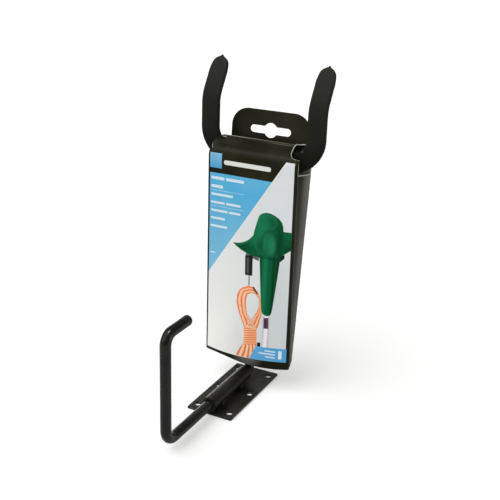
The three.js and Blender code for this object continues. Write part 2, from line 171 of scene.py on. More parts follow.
class Shader:
    """A material with a Principled surface, and short calls for the nodes that feed it."""

    def __init__(self, name):
        self.material = bpy.data.materials.new(name)
        self.material.use_nodes = True
        self.tree = self.material.node_tree
        self.tree.nodes.clear()
        output = self.tree.nodes.new("ShaderNodeOutputMaterial")
        self.surface = self.tree.nodes.new("ShaderNodeBsdfPrincipled")
        self.tree.links.new(self.surface.outputs[0], output.inputs[0])
        self.place = self.node("TexCoord", output="Object")

    def put(self, socket, value):
        if isinstance(value, Signal):
            self.tree.links.new(value.socket, socket)
            return
        if socket.type == "RGBA":
            value = (*value, 1)
        socket.default_value = value

    def node(self, kind, inputs=None, output=0, **settings):
        made = self.tree.nodes.new("ShaderNode" + kind)
        for setting, value in settings.items():
            setattr(made, setting, value)
        for socket, value in (inputs or {}).items():
            self.put(made.inputs[socket], value)
        return Signal(self, made.outputs[output])

    def calc(self, kind, *operands, clamp=False):
        return self.node("Math", dict(enumerate(operands)), operation=kind, use_clamp=clamp)

    def blend(self, base, *coats):
        """Lays (mask, colour) coats over a base colour, first coat lowest."""
        for mask, colour in coats:
            base = self.node("Mix", {0: mask, 6: base, 7: colour}, output=2, data_type="RGBA")
        return base

    def noise(self, scale, detail=2.0, rough=0.5, stretch=None, distort=0.0):
        place = self.place
        if stretch:
            place = self.node("Mapping", {0: place, "Scale": stretch})
        return self.node("TexNoise", {"Vector": place, "Scale": scale, "Detail": detail,
                                      "Roughness": rough, "Distortion": distort})

    def voronoi(self, scale, feature="F1"):
        return self.node("TexVoronoi", {"Vector": self.place, "Scale": scale}, feature=feature)

    def xyz(self):
        return [self.node("SeparateXYZ", {0: self.place}, output=axis) for axis in range(1)] \
            and self.split(self.place)

    def split(self, vector):
        made = self.tree.nodes.new("ShaderNodeSeparateXYZ")
        self.put(made.inputs[0], vector)
        return [Signal(self, socket) for socket in made.outputs]

    def bump(self, height, strength, distance, over=None):
        inputs = {"Strength": strength, "Distance": distance, "Height": height}
        if over is not None:
            inputs["Normal"] = over
        return self.node("Bump", inputs)

    def pointiness(self):
        return self.node("NewGeometry", output="Pointiness")

    def finish(self, **inputs):
        for socket, value in inputs.items():
            self.put(self.surface.inputs[socket.replace("_", " ")], value)
        return self.material


# xyz is the split of the object-space place
Shader.xyz = lambda self: self.split(self.place)


# ------------------------------------------------------------------ plain materials
def black_paint(name, peel=1.0, wear=1.0, rough=0.36, tint=(1.0, 0.97, 0.74), level=0.0075,
                spec=0.20, sheen_and_speckle=False):
    """Satin black powder coat: orange peel, cloudy gloss, specks, and thin wear on edges."""
    shader = Shader(name)
    cloud = shader.noise(scale=55, detail=3, rough=0.55)
    grain = shader.noise(scale=1500, detail=2, rough=0.6)
    orange_peel = shader.noise(scale=520)
    dark = tuple(level * channel for channel in tint)
    light = tuple(level * 2.1 * channel for channel in tint)
    base = shader.blend(dark, (cloud.ramp(over=(0.36, 0.66)), light))
    if sheen_and_speckle:                          # painted reflection: lighter patches on the right behind a slanting edge; lighter speckles on the left
        x, y, _ = shader.xyz()
        slant = x * 0.9 + y
        right = slant.ramp(over=(0.014, 0.024)) * x.ramp(over=(0.004, 0.008))
        left = (x.ramp(over=(-0.009, -0.012))
                * shader.noise(scale=700, detail=3, rough=0.7).ramp(over=(0.50, 0.62)))
        patches = shader.noise(scale=300, detail=4, rough=0.7)
        # coats: painted reflection on the right flange, lighter speckles on the left flange
        base = shader.blend(
            base, (right * patches.ramp(over=(0.35, 0.65), to=(0.3, 0.8)), (0.060, 0.060, 0.045)),
            (left * 0.75, (0.095, 0.095, 0.078)))
    speck = shader.voronoi(scale=620).ramp(over=(0.075, 0.03))
    edge = (shader.pointiness().ramp(over=(0.535, 0.60))
            * shader.noise(scale=240, detail=4, rough=0.7).ramp(over=(0.42, 0.62)))
    edge = shader.calc("MULTIPLY", edge, wear, clamp=True)
    base = shader.blend(base, (speck * 0.35, (0.05, 0.05, 0.043)), (edge, (0.16, 0.155, 0.14)))
    scratch = shader.noise(scale=90, detail=5, rough=0.75, stretch=(9, 1, 9))
    gloss = (cloud.ramp(over=(0.3, 0.7), to=(rough - 0.05, rough + 0.10))
             + scratch.ramp(over=(0.62, 0.72)) * 0.14 + grain * 0.05)
    normal = shader.bump(orange_peel, strength=0.22 * peel, distance=0.00022)
    normal = shader.bump(grain, strength=0.16 * peel, distance=0.00006, over=normal)
    return shader.finish(Base_Color=base, Roughness=gloss, Normal=normal, Metallic=edge * 0.7,
                         Specular_IOR_Level=spec)


def vinyl(name):
    """Matt dipped vinyl: fine pebble, painted light towards the tips, painted shade low down by the
    sleeve, faint rubbed patches and a painted highlight on each pip.
    """
    shader = Shader(name)
    x, y, z = shader.xyz()
    cloud = shader.noise(scale=38, detail=3, rough=0.55)
    pebble = shader.noise(scale=1250, detail=3, rough=0.62)
    cell = shader.voronoi(scale=900, feature="SMOOTH_F1")
    rubbed = (shader.pointiness().ramp(over=(0.52, 0.58))
              * shader.noise(scale=160, detail=4, rough=0.7).ramp(over=(0.40, 0.66)))
    rubbed = rubbed * z.ramp(over=(0.193, 0.201))
    from_pip = length(abs(x) - PIP_X * MM, y - (73.2 * MM + ORIGIN[1]),
                      z - (PIP_Z * MM + ORIGIN[2]))
    # painted highlight: a pale spot on each pip
    pip_highlight = (from_pip.ramp(over=(0.00105, 0.0004))
           * shader.noise(scale=900).ramp(over=(0.35, 0.6), to=(0.4, 0.8)))
    base = shader.blend(
        (0.0108, 0.0116, 0.0078), (cloud.ramp(over=(0.35, 0.68)), (0.0160, 0.0168, 0.0120)),
        # painted light: lighter towards the tips; painted shade: darker low down by the sleeve roof
        (z.ramp(over=(0.222, 0.256), to=(0.0, 0.75)), (0.0225, 0.0225, 0.0165)),
        (z.ramp(over=(0.205, 0.182), to=(0.0, 0.65)), (0.0085, 0.0090, 0.0058)),
        (rubbed * 0.45, (0.040, 0.040, 0.033)), (pip_highlight, (0.16, 0.16, 0.14)))
    gloss = cloud.ramp(over=(0.3, 0.7), to=(0.58, 0.72)) + pebble * 0.06
    normal = shader.bump(pebble, strength=0.38, distance=0.00012)
    normal = shader.bump(cell, strength=0.22, distance=0.00010, over=normal)
    return shader.finish(Base_Color=base, Roughness=gloss, Normal=normal,
                         Specular_IOR_Level=z.ramp(over=(0.193, 0.203), to=(0.03, 0.105)),
                         Sheen_Weight=0.015, Sheen_Roughness=0.5)


def zinc(name):
    """Streaked bright plating with a faint yellow cast in patches."""
    shader = Shader(name)
    streak = shader.noise(scale=420, detail=4, rough=0.65, stretch=(1, 1, 0.08))
    cloud = shader.noise(scale=160, detail=3)
    patches = shader.noise(scale=300, detail=3, rough=0.6).ramp(over=(0.6, 0.75))
    base = shader.blend((0.40, 0.40, 0.385), (cloud, (0.66, 0.655, 0.62)),
                        (patches * 0.3, (0.62, 0.55, 0.36)))
    return shader.finish(Base_Color=base, Metallic=0.95,
                         Roughness=streak.ramp(over=(0.3, 0.7), to=(0.22, 0.46)),
                         Normal=shader.bump(streak, strength=0.25, distance=0.00008))


def clear_film(name):
    """Clear, slightly crumpled plastic film."""
    shader = Shader(name)
    crumple = shader.noise(scale=150, detail=4, rough=0.6, distort=0.8)
    return shader.finish(Base_Color=shader.blend((0.80, 0.83, 0.84), (crumple, (0.93, 0.94, 0.94))),
                         Roughness=crumple.ramp(over=(0.35, 0.65), to=(0.10, 0.26)),
                         Transmission_Weight=0.86, IOR=1.15,
                         Normal=shader.bump(crumple, strength=0.5, distance=0.0012))


def board_core(name):
    """Raw cut edge of the board: off-white fibres with grey flecks."""
    shader = Shader(name)
    fibre = shader.noise(scale=1800, detail=4, rough=0.7, stretch=(1, 1, 0.35))
    fleck = shader.noise(scale=700, detail=3, rough=0.6).ramp(over=(0.60, 0.75))
    base = shader.blend((0.50, 0.495, 0.45), (fibre.ramp(over=(0.3, 0.7)), (0.74, 0.735, 0.69)),
                        (fleck * 0.5, (0.24, 0.23, 0.20)))
    return shader.finish(Base_Color=base, Roughness=0.85, Specular_IOR_Level=0.25,
                         Normal=shader.bump(fibre, strength=0.6, distance=0.0001))


def board_inside(name):
    """Grey board face inside the sleeve, with painted shade, near black, round the roof fold."""
    shader = Shader(name)
    fibre = shader.noise(scale=900, detail=5, rough=0.7, stretch=(1, 1, 0.3))
    cloud = shader.noise(scale=60, detail=3)
    z = shader.xyz()[2]
    # the last coat is painted shade, near black round the roof fold
    base = shader.blend(
        (0.36, 0.355, 0.325), (fibre.ramp(over=(0.3, 0.72)), (0.52, 0.51, 0.47)),
        (cloud.ramp(over=(0.35, 0.7), to=(0, 0.35)), (0.22, 0.215, 0.19)),
        (z.ramp(over=(0.183, 0.190), to=(0, 0.94)), (0.014, 0.014, 0.011)))
    return shader.finish(Base_Color=base, Specular_IOR_Level=0.2,
                         Roughness=fibre.ramp(over=(0.3, 0.7), to=(0.72, 0.92)),
                         Normal=shader.bump(fibre, strength=0.4, distance=0.0001))


# ------------------------------------------------------------------ printed board
class Art(Shader):
    """Print drawn with distance fields (negative inside), in row-frame millimetres."""

    def __init__(self, name):
        super().__init__(name)
        self.x, self.y, self.z = (axis * 1000.0 for axis in self.xyz())
        self.front = self.y.ramp(over=(26.0, 25.4)) * abs(self.x).ramp(over=(36.9, 36.7))

    def line(self, start, end):
        """Distance to the right of a line, seen from the front."""
        run, rise = end[0] - start[0], end[1] - start[1]
        size = math.hypot(run, rise)
        normal_x, normal_z = rise / size, -run / size
        offset_x = self.x.scaled(normal_x, -(normal_x * start[0] + normal_z * start[1]))
        return self.z.scaled(normal_z, offset_x)

    def poly(self, *points):
        """Convex outline through (x, z) points in either turning sense."""
        points = list(points)
        sides = list(zip(points, points[1:] + points[:1]))
        if sum(p[0] * q[1] - q[0] * p[1] for p, q in sides) < 0:
            points.reverse()
        return reduce(and_, [self.line(p, q) for p, q in zip(points, points[1:] + points[:1])])

    def box(self, x0, x1, z0, z1, corner=0.0):
        out_x = abs(self.x - (x0 + x1) / 2) - ((x1 - x0) / 2 - corner)
        out_z = abs(self.z - (z0 + z1) / 2) - ((z1 - z0) / 2 - corner)
        if corner == 0:
            return out_x & out_z
        return length(out_x.maximum(0.0), out_z.maximum(0.0)) - corner

    def radial(self, x, z, radius_x, radius_z):
        """1 on the ellipse, 0 at its centre."""
        return length(self.x.scaled(1 / radius_x, -x / radius_x),
                      self.z.scaled(1 / radius_z, -z / radius_z))

    def ellipse(self, x, z, radius_x, radius_z):
        return (self.radial(x, z, radius_x, radius_z) - 1.0) * min(radius_x, radius_z)

    def tint(self, mask, colour):
        self.colour = self.blend(self.colour, (mask, colour))

    def paint(self, distance, colour, soft=0.16, amount=1.0):
        """Colours the inside of a shape on the front; soft is the edge's half width."""
        mask = distance.ramp(over=(soft, -soft)) * self.front
        self.tint(mask * amount if amount != 1.0 else mask, colour)


WHITE_INK = srgb(235, 243, 246)
DEEP_GREEN = srgb(2, 58, 30)
PANEL_TOP = 187.1

# Plain bars of light print: x from, x to, middle z, half height
PRINT_BARS = [
    (-34.3, -23.0, 166.7, 1.15), (-21.6, -6.3, 166.7, 1.15), (-34.3, -24.1, 160.1, 1.15),
    (-34.3, -15.3, 153.7, 0.9), (-34.4, -22.4, 147.2, 0.9), (-21.2, -8.6, 147.2, 0.9),
    (-34.3, -19.8, 140.7, 0.9), (-18.6, -8.6, 140.7, 0.9), (-34.4, -21.8, 134.5, 0.9),
    (-34.4, -19.8, 128.1, 0.9), (-34.5, -30.0, 105.9, 0.6)]


def draw_background(art):
    """Pale field with the blue wedge above its slanting edge; returns the lower-edge distance."""
    slope = (PANEL_TOP - 88.6) / (28.1 + 35.4)
    above = ((art.z - art.x.scaled(slope, PANEL_TOP - slope * 28.1))
             * (1 / math.hypot(1, slope)))
    low = art.x.scaled(0.038, 24.8) - art.z
    sides = (art.x - 34.75) & (-35.5 - art.x)
    panel = sides & low & (art.z - PANEL_TOP)
    field = art.blend(
        srgb(244, 244, 239), (art.x.ramp(over=(-35, 35)), srgb(216, 222, 224)),
        (art.z.ramp(over=(30, 150)) * 0.8, srgb(224, 227, 228)),
        (art.noise(scale=26, detail=3).ramp(over=(0.35, 0.7)) * 0.15, srgb(212, 215, 217)))
    art.paint(panel & above, field)
    sky = art.blend(
        srgb(122, 188, 220), (art.z.ramp(over=(95, 170)), srgb(84, 176, 222)),
        (art.noise(scale=34).ramp(over=(0.4, 0.7), to=(0, 0.25)), srgb(140, 200, 228)))
    art.paint(panel & (above * -1.0) & (art.z - 170.7), sky)
    art.paint(panel & (abs(above) - 0.32) & (art.z - PANEL_TOP), srgb(238, 240, 238))
    return low


def draw_bars(art):
    """Emblem square and bar in the header, then the bars and rules on the wedge."""
    emblem = art.blend(srgb(84, 162, 212), (art.z.ramp(over=(174, 186)), srgb(126, 186, 218)))
    art.paint(art.box(-35.6, -25.5, 174.6, 186.2, corner=0.2), emblem)
    art.paint(art.box(-23.6, 15.8, 178.1, 181.6, corner=1.6), srgb(226, 229, 222))
    for x0, x1, z, half in PRINT_BARS:
        art.paint(art.box(x0, x1, z - half, z + half, corner=min(half, 0.7) * 0.9), WHITE_INK,
                  soft=0.25, amount=0.78 if half > 0.7 else 0.55)
    for z in (157.0, 144.2):
        art.paint(art.box(-34.3, -6.1, z - 0.14, z + 0.14), WHITE_INK, soft=0.1, amount=0.7)


def draw_hanging_plate(art):
    """Soft shades on the pale field, then the small dark plate and its thin rod."""
    art.paint(art.ellipse(22, 84, 9, 34), srgb(194, 201, 205), soft=6.0, amount=0.35)
    art.paint(art.ellipse(4, 48, 14, 26), srgb(214, 215, 214), soft=6.0, amount=0.25)
    art.paint(art.poly((-3.1, 109), (3.5, 110.3), (3.9, 93.6), (-2.4, 93.2)), srgb(34, 38, 38))
    art.paint(art.poly((-1.6, 107.2), (0.2, 107.6), (0.7, 95.2), (-1.1, 95.0)),
              srgb(92, 98, 99), soft=0.3, amount=0.7)
    art.paint(art.poly((0.8, 93.9), (1.7, 93.9), (2.1, 83.6), (1.2, 83.6)), srgb(74, 76, 76))


def draw_cord(art):
    """Coiled orange cord: a loop of strands, the loose tails, the wrap and its crossings."""
    warp = art.noise(scale=80, detail=3, rough=0.55) - 0.5
    outer = art.poly(
        (-3.4, 83.0), (1.2, 85.4), (6.0, 84.9), (10.2, 80.8), (13.3, 72.5), (13.6, 62.3),
        (11.9, 53.7), (10.2, 49.3), (-0.3, 49.3), (-3.6, 56.4), (-7.0, 62.6), (-8.7, 69.2),
        (-8.2, 75.6), (-6.4, 80.2))
    inner = art.poly(
        (0.9, 77.6), (4.0, 79.6), (7.6, 79.2), (10.6, 76.1), (11.3, 70.9), (9.6, 64.6),
        (5.6, 57.2), (4.6, 57.4), (1.6, 61.6), (0.0, 68.4), (0.0, 73.8))
    loop = (outer + warp * 1.2) & ((inner + warp * -0.6) * -1.0)
    width = inner.maximum(0.0) - outer.minimum(0.0)
    across = inner.maximum(0.0) / width.maximum(0.05)
    turn = (art.z + art.x * 0.6) * 0.05
    wave = (across * 15.5 + (warp * 8.0 + turn)).sine()
    loop_colour = art.blend(
        srgb(255, 176, 132), (art.x.ramp(over=(-8, 14)), srgb(250, 156, 104)),
        (wave.ramp(over=(0.2, 0.95)), srgb(255, 208, 170)),
        (wave.ramp(over=(-0.5, -0.98), to=(0, 0.8)), srgb(206, 92, 50)),
        (warp.ramp(over=(0.09, 0.24)) * 0.6, srgb(190, 72, 40)))
    art.paint(loop, loop_colour, soft=0.25)

    wave = (art.z.scaled(3.3, art.x * -0.75) + warp * 5.0).sine()
    wrap_colour = art.blend(
        srgb(250, 152, 100), (wave.ramp(over=(-0.1, 0.8)), srgb(255, 192, 144)),
        (wave.ramp(over=(-0.5, -1.0), to=(0, 0.85)), srgb(204, 84, 48)),
        (art.x.ramp(over=(4.5, -0.8), to=(0, 0.35)), srgb(252, 206, 172)))
    fan = (art.x - 5.6) / (60.0 - art.z)
    wave = warp.scaled(6.0, fan * 50.0).sine()
    tail_colour = art.blend(
        srgb(250, 166, 118), (wave.ramp(over=(-0.2, 0.8)), srgb(255, 214, 178)),
        (wave.ramp(over=(-0.45, -1.0), to=(0, 0.85)), srgb(204, 82, 44)))
    tails = art.poly((0.0, 36.6), (-5.6, 27.4), (-5.6, 24.9), (7.4, 25.4), (11.1, 33.0),
                     (11.3, 38.8))
    art.paint(tails + warp * 1.4, tail_colour, soft=0.25)
    wrap = art.poly((-0.6, 49.6), (10.6, 51.0), (11.3, 37.9), (0.0, 35.4))
    art.paint(wrap + warp * 1.6, wrap_colour, soft=0.25)

    # crossing strands: top point, bottom point, half width
    for top, bottom, half in [((1.6, 60.6), (9.8, 50.2), 0.9), ((9.4, 61.8), (2.0, 51.6), 0.9),
                              ((5.2, 57.4), (5.9, 49.8), 0.6)]:
        off = art.line(top, bottom)
        strand = (abs(off) - half) & ((art.z - top[1]) & (bottom[1] - art.z))
        colour = art.blend(srgb(255, 220, 192),
                           (abs(off).ramp(over=(0.1, half)), srgb(196, 84, 48)))
        art.paint(strand, colour, soft=0.2, amount=0.85)
    art.paint(art.poly((3.4, 84.9), (5.8, 85.1), (9.9, 79.9), (8.0, 78.4), (5.0, 80.2),
                       (5.0, 83.2)), srgb(44, 34, 32), soft=0.25, amount=0.9)
    art.paint(art.box(11.6, 14.6, 36.2, 39.9, corner=0.5), srgb(40, 34, 34))


def draw_tool(art):
    """Green tool body: curved outlet, side block, housing, grip and their seams."""
    def from_curve_centre():
        return (abs(art.x + 13.3) ** 2.0 + abs(art.z - 137.2) ** 2.0).sqrt()

    outlet = art.poly((-16.0, 119.3), (-12.3, 115.9), (-6.6, 112.7), (-0.9, 110.6),
                      (4.7, 109.7), (10, 109.8), (10, 138.4), (5.8, 138.4))
    outlet = outlet & (19.5 - from_curve_centre())
    reach = from_curve_centre()
    art.paint(art.poly((-2.8, 111.4), (3.5, 110.9), (8.8, 110.9), (8.8, 106.6), (-2.6, 109.2)),
              srgb(18, 26, 20), soft=0.3, amount=0.85)
    art.paint(outlet, art.blend(
        srgb(30, 110, 74), (reach.ramp(over=(19.6, 22.2)), srgb(2, 78, 44)),
        (reach.ramp(over=(24.6, 28.6)), srgb(8, 88, 52)),
        (art.ellipse(2.2, 124.0, 3.6, 6.5).ramp(over=(2.2, -2.2), to=(0, 0.55)),
         srgb(26, 118, 78))))

    block = art.poly((27.2, 133.6), (35.1, 134.2), (35.1, 120.0), (30.2, 116.2), (28.0, 114.8))
    ribs = (art.z * 1.15).sine()
    art.paint(block, art.blend(
        srgb(2, 66, 34), (art.z.ramp(over=(116, 134)), srgb(18, 100, 62)),
        (ribs.ramp(over=(0.4, 1.0), to=(0, 0.25)), srgb(2, 50, 26))))

    housing = art.poly(
        (5.6, 137.0), (7.3, 142.4), (8.6, 144.1), (10.6, 145.4), (13.2, 146.3), (17.2, 146.2),
        (20.6, 145.1), (24.0, 143.3), (26.5, 140.8), (27.8, 137.4), (28.5, 131), (29.6, 121.0),
        (29.2, 116.0), (26.2, 108.8), (9.0, 109.2), (3.0, 121.0), (3.4, 128.5))
    tone = art.blend(srgb(20, 112, 72), (art.x.ramp(over=(10, 28)), srgb(4, 78, 44)))
    # soft patches: ellipse (x, z, radius x, radius z), edge from and to, strength, colour
    for ellipse, edge, strength, colour in [
            ((11.0, 128.5, 4.6, 13.5), (2.4, -3.4), 0.65, srgb(26, 122, 82)),
            ((19.0, 121.0, 3.4, 8.6), (1.8, -2.6), 0.6, srgb(44, 136, 100)),
            ((8.8, 117.5, 2.6, 7.6), (1.8, -2.2), 0.6, srgb(2, 66, 36)),
            ((25.4, 122.0, 2.0, 10.6), (1.5, -1.8), 0.7, DEEP_GREEN)]:
        mask = art.ellipse(*ellipse).ramp(over=edge, to=(0, strength))
        tone = art.blend(tone, (mask, colour))
    art.paint(housing, tone)

    grip = art.poly(
        (9.0, 112), (10.4, 96), (11.5, 83), (12.9, 69.8), (13.6, 65.8), (14.9, 64.0),
        (17.9, 63.0), (20.5, 63.9), (21.5, 65.6), (22.1, 68.5), (23.3, 79), (26.6, 112))
    across = art.x - art.z.scaled(0.0105, 16.4)
    art.paint(grip, art.blend(
        srgb(4, 84, 48), (across.ramp(over=(-6.8, -3.4)), srgb(22, 116, 76)),
        (across.ramp(over=(-2.8, 0.6)), srgb(4, 92, 54)),
        (across.ramp(over=(1.6, 4.4)), DEEP_GREEN),
        (abs(across - 5.6).ramp(over=(1.0, 0.2), to=(0, 0.4)), srgb(24, 96, 62))))

    art.paint(housing & (abs(art.radial(17.0, 121.5, 6.4, 11.0) - 1.0) - 0.05), DEEP_GREEN,
              soft=0.3, amount=0.7)
    art.paint(housing & (abs(art.x - art.z.scaled(-0.05, 31.0)) - 0.22), DEEP_GREEN,
              soft=0.2, amount=0.6)
    for k in range(4):                                   # cooling slots
        left, right, drop = 17.6 + k * 0.5, 23.0 + k * 0.7, k * 2.0
        slot = art.poly((left, 140.6 - drop), (right, 139.6 - drop), (right, 139.0 - drop),
                        (left, 140.0 - drop))
        art.paint(slot, srgb(2, 46, 24), soft=0.2, amount=0.75)
    art.paint(housing & (abs(art.radial(14.5, 139.0, 7.4, 5.6) - 1.0) - 0.04),
              srgb(40, 132, 94), soft=0.3, amount=0.5)
    art.paint(art.poly((26.6, 113.6), (30.0, 115.8), (30.0, 112.6), (26.6, 109.2)),
              srgb(16, 34, 22), soft=0.3)
    art.paint(grip & (abs(art.z - art.x.scaled(-0.06, 111.0)) - 0.45), DEEP_GREEN,
              soft=0.4, amount=0.55)
    art.paint(grip & (abs(art.z - 69.4) - 0.25), DEEP_GREEN, soft=0.3, amount=0.5)


def draw_tube_and_inset(art, low):
    """Pale tube with a dark block, and the plain blue inset low on the right."""
    tube = art.poly((15.0, 62.6), (20.6, 63.0), (21.0, 35.9), (15.5, 35.2))
    art.paint(tube, art.blend(
        srgb(244, 240, 244), (abs(art.x - 18.0).ramp(over=(0.6, 2.9)), srgb(192, 186, 196))))
    art.paint(art.poly((15.7, 61.1), (19.7, 61.9), (20.1, 52.7), (16.1, 52.3)),
              srgb(98, 62, 84), soft=0.3)
    art.paint(art.poly((16.6, 59.8), (18.0, 60.1), (18.3, 53.9), (16.9, 53.7)),
              srgb(58, 44, 66), soft=0.4, amount=0.8)
    inset = art.poly((10.8, 36.4), (35.4, 37.6), (35.4, 24.2), (5.2, 23.6))
    art.paint(inset & low, art.blend(
        srgb(98, 178, 226), (art.x.ramp(over=(6, 35)), srgb(84, 170, 226))))
    art.paint(art.box(29.2, 31.8, 28.4, 35.4, corner=0.3), WHITE_INK)
    for x0, x1, z in [(18.2, 26.8, 34.0), (13.4, 26.8, 31.5), (18.8, 26.9, 29.0)]:
        art.paint(art.box(x0, x1, z - 0.6, z + 0.6, corner=0.5), WHITE_INK, soft=0.22, amount=0.8)


def draw_wear(art):
    """Pale line along the roof crest, paler to the left, and rubbed front folds; returns the crest,
    fold and scuff masks.
    """
    crest = abs(art.y - 41.5).ramp(over=(1.5, 0.3)) * art.z.ramp(over=(193.6, 194.8))
    twin = (abs(art.y - 38.4).ramp(over=(0.6, 0.15)) * art.x.ramp(over=(-4, 20))
            * art.z.ramp(over=(193.0, 194.0)))
    crest = (crest * art.x.ramp(over=(34, -30), to=(0.45, 1.0))).maximum(twin * 0.6)
    patches = art.noise(scale=90, detail=4, rough=0.7, stretch=(0.3, 1, 1))
    crest = crest * patches.ramp(over=(0.22, 0.46))
    art.tint(crest * 0.9, art.blend(
        srgb(214, 213, 196), (art.x.ramp(over=(-34, 0)), srgb(150, 149, 132))))
    patches = art.noise(scale=170, detail=4, rough=0.7, stretch=(1, 1, 0.3))
    fold = (abs(art.x).ramp(over=(36.5, 37.0)) * abs(art.y - 20.2).ramp(over=(1.1, 0.2))
            * patches.ramp(over=(0.38, 0.66)) * art.x.ramp(over=(-30, 30), to=(1.0, 0.12)))
    art.tint(fold * 0.45, srgb(130, 130, 120))
    scuff = art.noise(scale=60, detail=6, rough=0.8, stretch=(1, 1, 4)).ramp(over=(0.66, 0.78))
    art.tint(scuff * 0.05, srgb(190, 190, 185))
    return crest, fold, scuff


def printed(name):
    """Gloss print: black board, side panels with a painted grey sheen, and the picture on the
    front.
    """
    art = Art(name)
    cloud = art.noise(scale=45, detail=3)
    black = art.blend((0.0125, 0.0122, 0.0056),
                      (cloud.ramp(over=(0.35, 0.68)), (0.0215, 0.0200, 0.0092)))
    # painted reflection: the side panels turn from black at the front fold to a grey sheen at the
    # back edge, lighter higher up
    front_fold = SLEEVE_FRONT_Y + ORIGIN_Y_MM
    back_edge = art.z.scaled(0.0905, 73.0 + ORIGIN_Y_MM - 0.15)
    across = (art.y - front_fold) / (back_edge - front_fold)
    on_side = abs(abs(art.x) - 36.2).ramp(over=(1.9, 1.7)) * art.z.ramp(over=(190.0, 186.0))
    on_side = on_side * (across.ramp(over=(0.03, 0.10)) * across.ramp(over=(1.02, 0.985)))
    brown_patches = art.noise(scale=24, detail=3, rough=0.55)
    green_patches = art.noise(scale=31, stretch=(1.6, 1.0, 0.5))
    grey = art.blend(
        (0.070, 0.055, 0.041), (art.z.ramp(over=(60, 170)), (0.135, 0.140, 0.115)),
        (brown_patches.ramp(over=(0.42, 0.64), to=(0, 0.55)), (0.070, 0.060, 0.042)),
        (green_patches.ramp(over=(0.52, 0.66), to=(0, 0.45)), (0.040, 0.052, 0.032)))
    art.colour = art.blend(black, (on_side * across.ramp(over=(0.34, 1.08)), grey))

    low = draw_background(art)
    draw_bars(art)
    draw_hanging_plate(art)
    draw_cord(art)
    draw_tool(art)
    draw_tube_and_inset(art, low)
    crest, fold, scuff = draw_wear(art)

    shine = 0.15 - art.y.ramp(over=(23.5, 21.5)) * art.z.ramp(over=(191, 186)) * 0.10
    shine = shine * (1.0 - on_side) + on_side * across.ramp(over=(0.30, 1.0), to=(0.01, 0.24))
    fine = art.noise(scale=1400)
    gloss = (cloud.ramp(over=(0.3, 0.7), to=(0.26, 0.36)) + scuff * 0.20
             + (crest + fold) * 0.25 + fine * 0.04)
    normal = art.bump(art.noise(scale=160, rough=0.4), strength=0.10, distance=0.0004)
    normal = art.bump(fine, strength=0.08, distance=0.00004, over=normal)
    return art.finish(Base_Color=art.colour, Roughness=gloss, Normal=normal,
                      Specular_IOR_Level=shine)


PLATE_PAINT = black_paint("plate_paint", peel=1.8, wear=1.2, rough=0.30, level=0.0085,
                          spec=0.26, sheen_and_speckle=True)
BARREL_PAINT = black_paint("barrel_paint", peel=0.8, wear=0.8, rough=0.27,
                           tint=(1.0, 0.90, 0.62), spec=0.18)
WELD_PAINT = black_paint("weld_paint", peel=0.9, wear=0.6, rough=0.40)
ROD_PAINT = black_paint("rod_paint", peel=0.5, wear=0.4, rough=0.20, tint=(1.0, 0.97, 0.70),
                        level=0.0060, spec=0.22)
BAR_PAINT = black_paint("bar_paint", peel=0.9, wear=0.7, rough=0.38)
VINYL = vinyl("grip_vinyl")
ZINC = zinc("screw_zinc")
FILM = clear_film("pouch_film")
PRINT = printed("sleeve_print")
CORE = board_core("sleeve_core")
INSIDE = board_inside("sleeve_inside")


# ------------------------------------------------------------------ mesh helpers
def add_object(name, data):
    made = bpy.data.objects.new(name, data)
    bpy.context.scene.collection.objects.link(made)
    return made


def to_row_frame(points, origin=ORIGIN):
    return np.asarray(points, float) * MM + origin


def tidy(mesh, merge):
    """Merges points closer than `merge` and turns the faces outwards."""
    bm = bmesh.new()
    bm.from_mesh(mesh)
    bmesh.ops.remove_doubles(bm, verts=bm.verts, dist=merge)
    bmesh.ops.recalc_face_normals(bm, faces=bm.faces)
    if bm.calc_volume(signed=True) < 0:
        bmesh.ops.reverse_faces(bm, faces=bm.faces)
    bm.to_mesh(mesh)
    bm.free()


def shade_smooth(mesh, sharp):
    """Smooth shading, with edges sharper than `sharp` degrees kept."""
    mesh.polygons.foreach_set("use_smooth", [True] * len(mesh.polygons))
    mesh.set_sharp_from_angle(angle=math.radians(sharp))


def piece(name, shape, material, body, replaced, sharp, origin=ORIGIN):
    """Object from (verts, faces) in millimetres that stands in for a CAD node."""
    verts, faces = shape
    mesh = bpy.data.meshes.new(name)
    mesh.from_pydata([tuple(p) for p in to_row_frame(verts, origin)], [], faces)
    mesh.materials.append(material)
    tidy(mesh, merge=2e-7)
    shade_smooth(mesh, sharp)
    mesh.update()
    made = add_object(name, mesh)
    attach(made, body)
    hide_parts(replaced)
    return made


def band(first, second, count):
    """Quads between two closed rings of vertices that start at the given numbers."""
    return [(first + j, first + (j + 1) % count, second + (j + 1) % count, second + j)
            for j in range(count)]


def loft(rings, closed=False):
    """Skin over equal rings, joined last to first or shut with a fan at both ends."""
    count = len(rings[0])
    last = (len(rings) - 1) * count
    verts = [tuple(p) for ring in rings for p in ring]
    faces = []
    for start in range(0, last, count):
        faces += band(start, start + count, count)
    if closed:
        return verts, faces + band(last, 0, count)
    verts += [tuple(np.mean(rings[0], 0)), tuple(np.mean(rings[-1], 0))]
    first_pole = last + count
    faces += [((j + 1) % count, j, first_pole) for j in range(count)]
    faces += [(last + j, last + (j + 1) % count, first_pole + 1) for j in range(count)]
    return verts, faces


# ------------------------------------------------------------------ wall plate
PLATE_WIDTH, PLATE_LENGTH, PLATE_THICK = 38.1, 81.8, 1.6
PLATE_CORNER, PLATE_ROLL = 1.0, 0.28           # corner radius; rolled edge of the outer face
HOLE_RADIUS, HOLE_SIDES = 2.35, 40
HOLE_CHAMFER, HOLE_ROLL = 0.12, 0.34           # at the wall face; at the outer face
HOLES = [(x, y) for x in (-13.8, 13.8) for y in (7.5, PLATE_LENGTH / 2, PLATE_LENGTH - 7.5)]


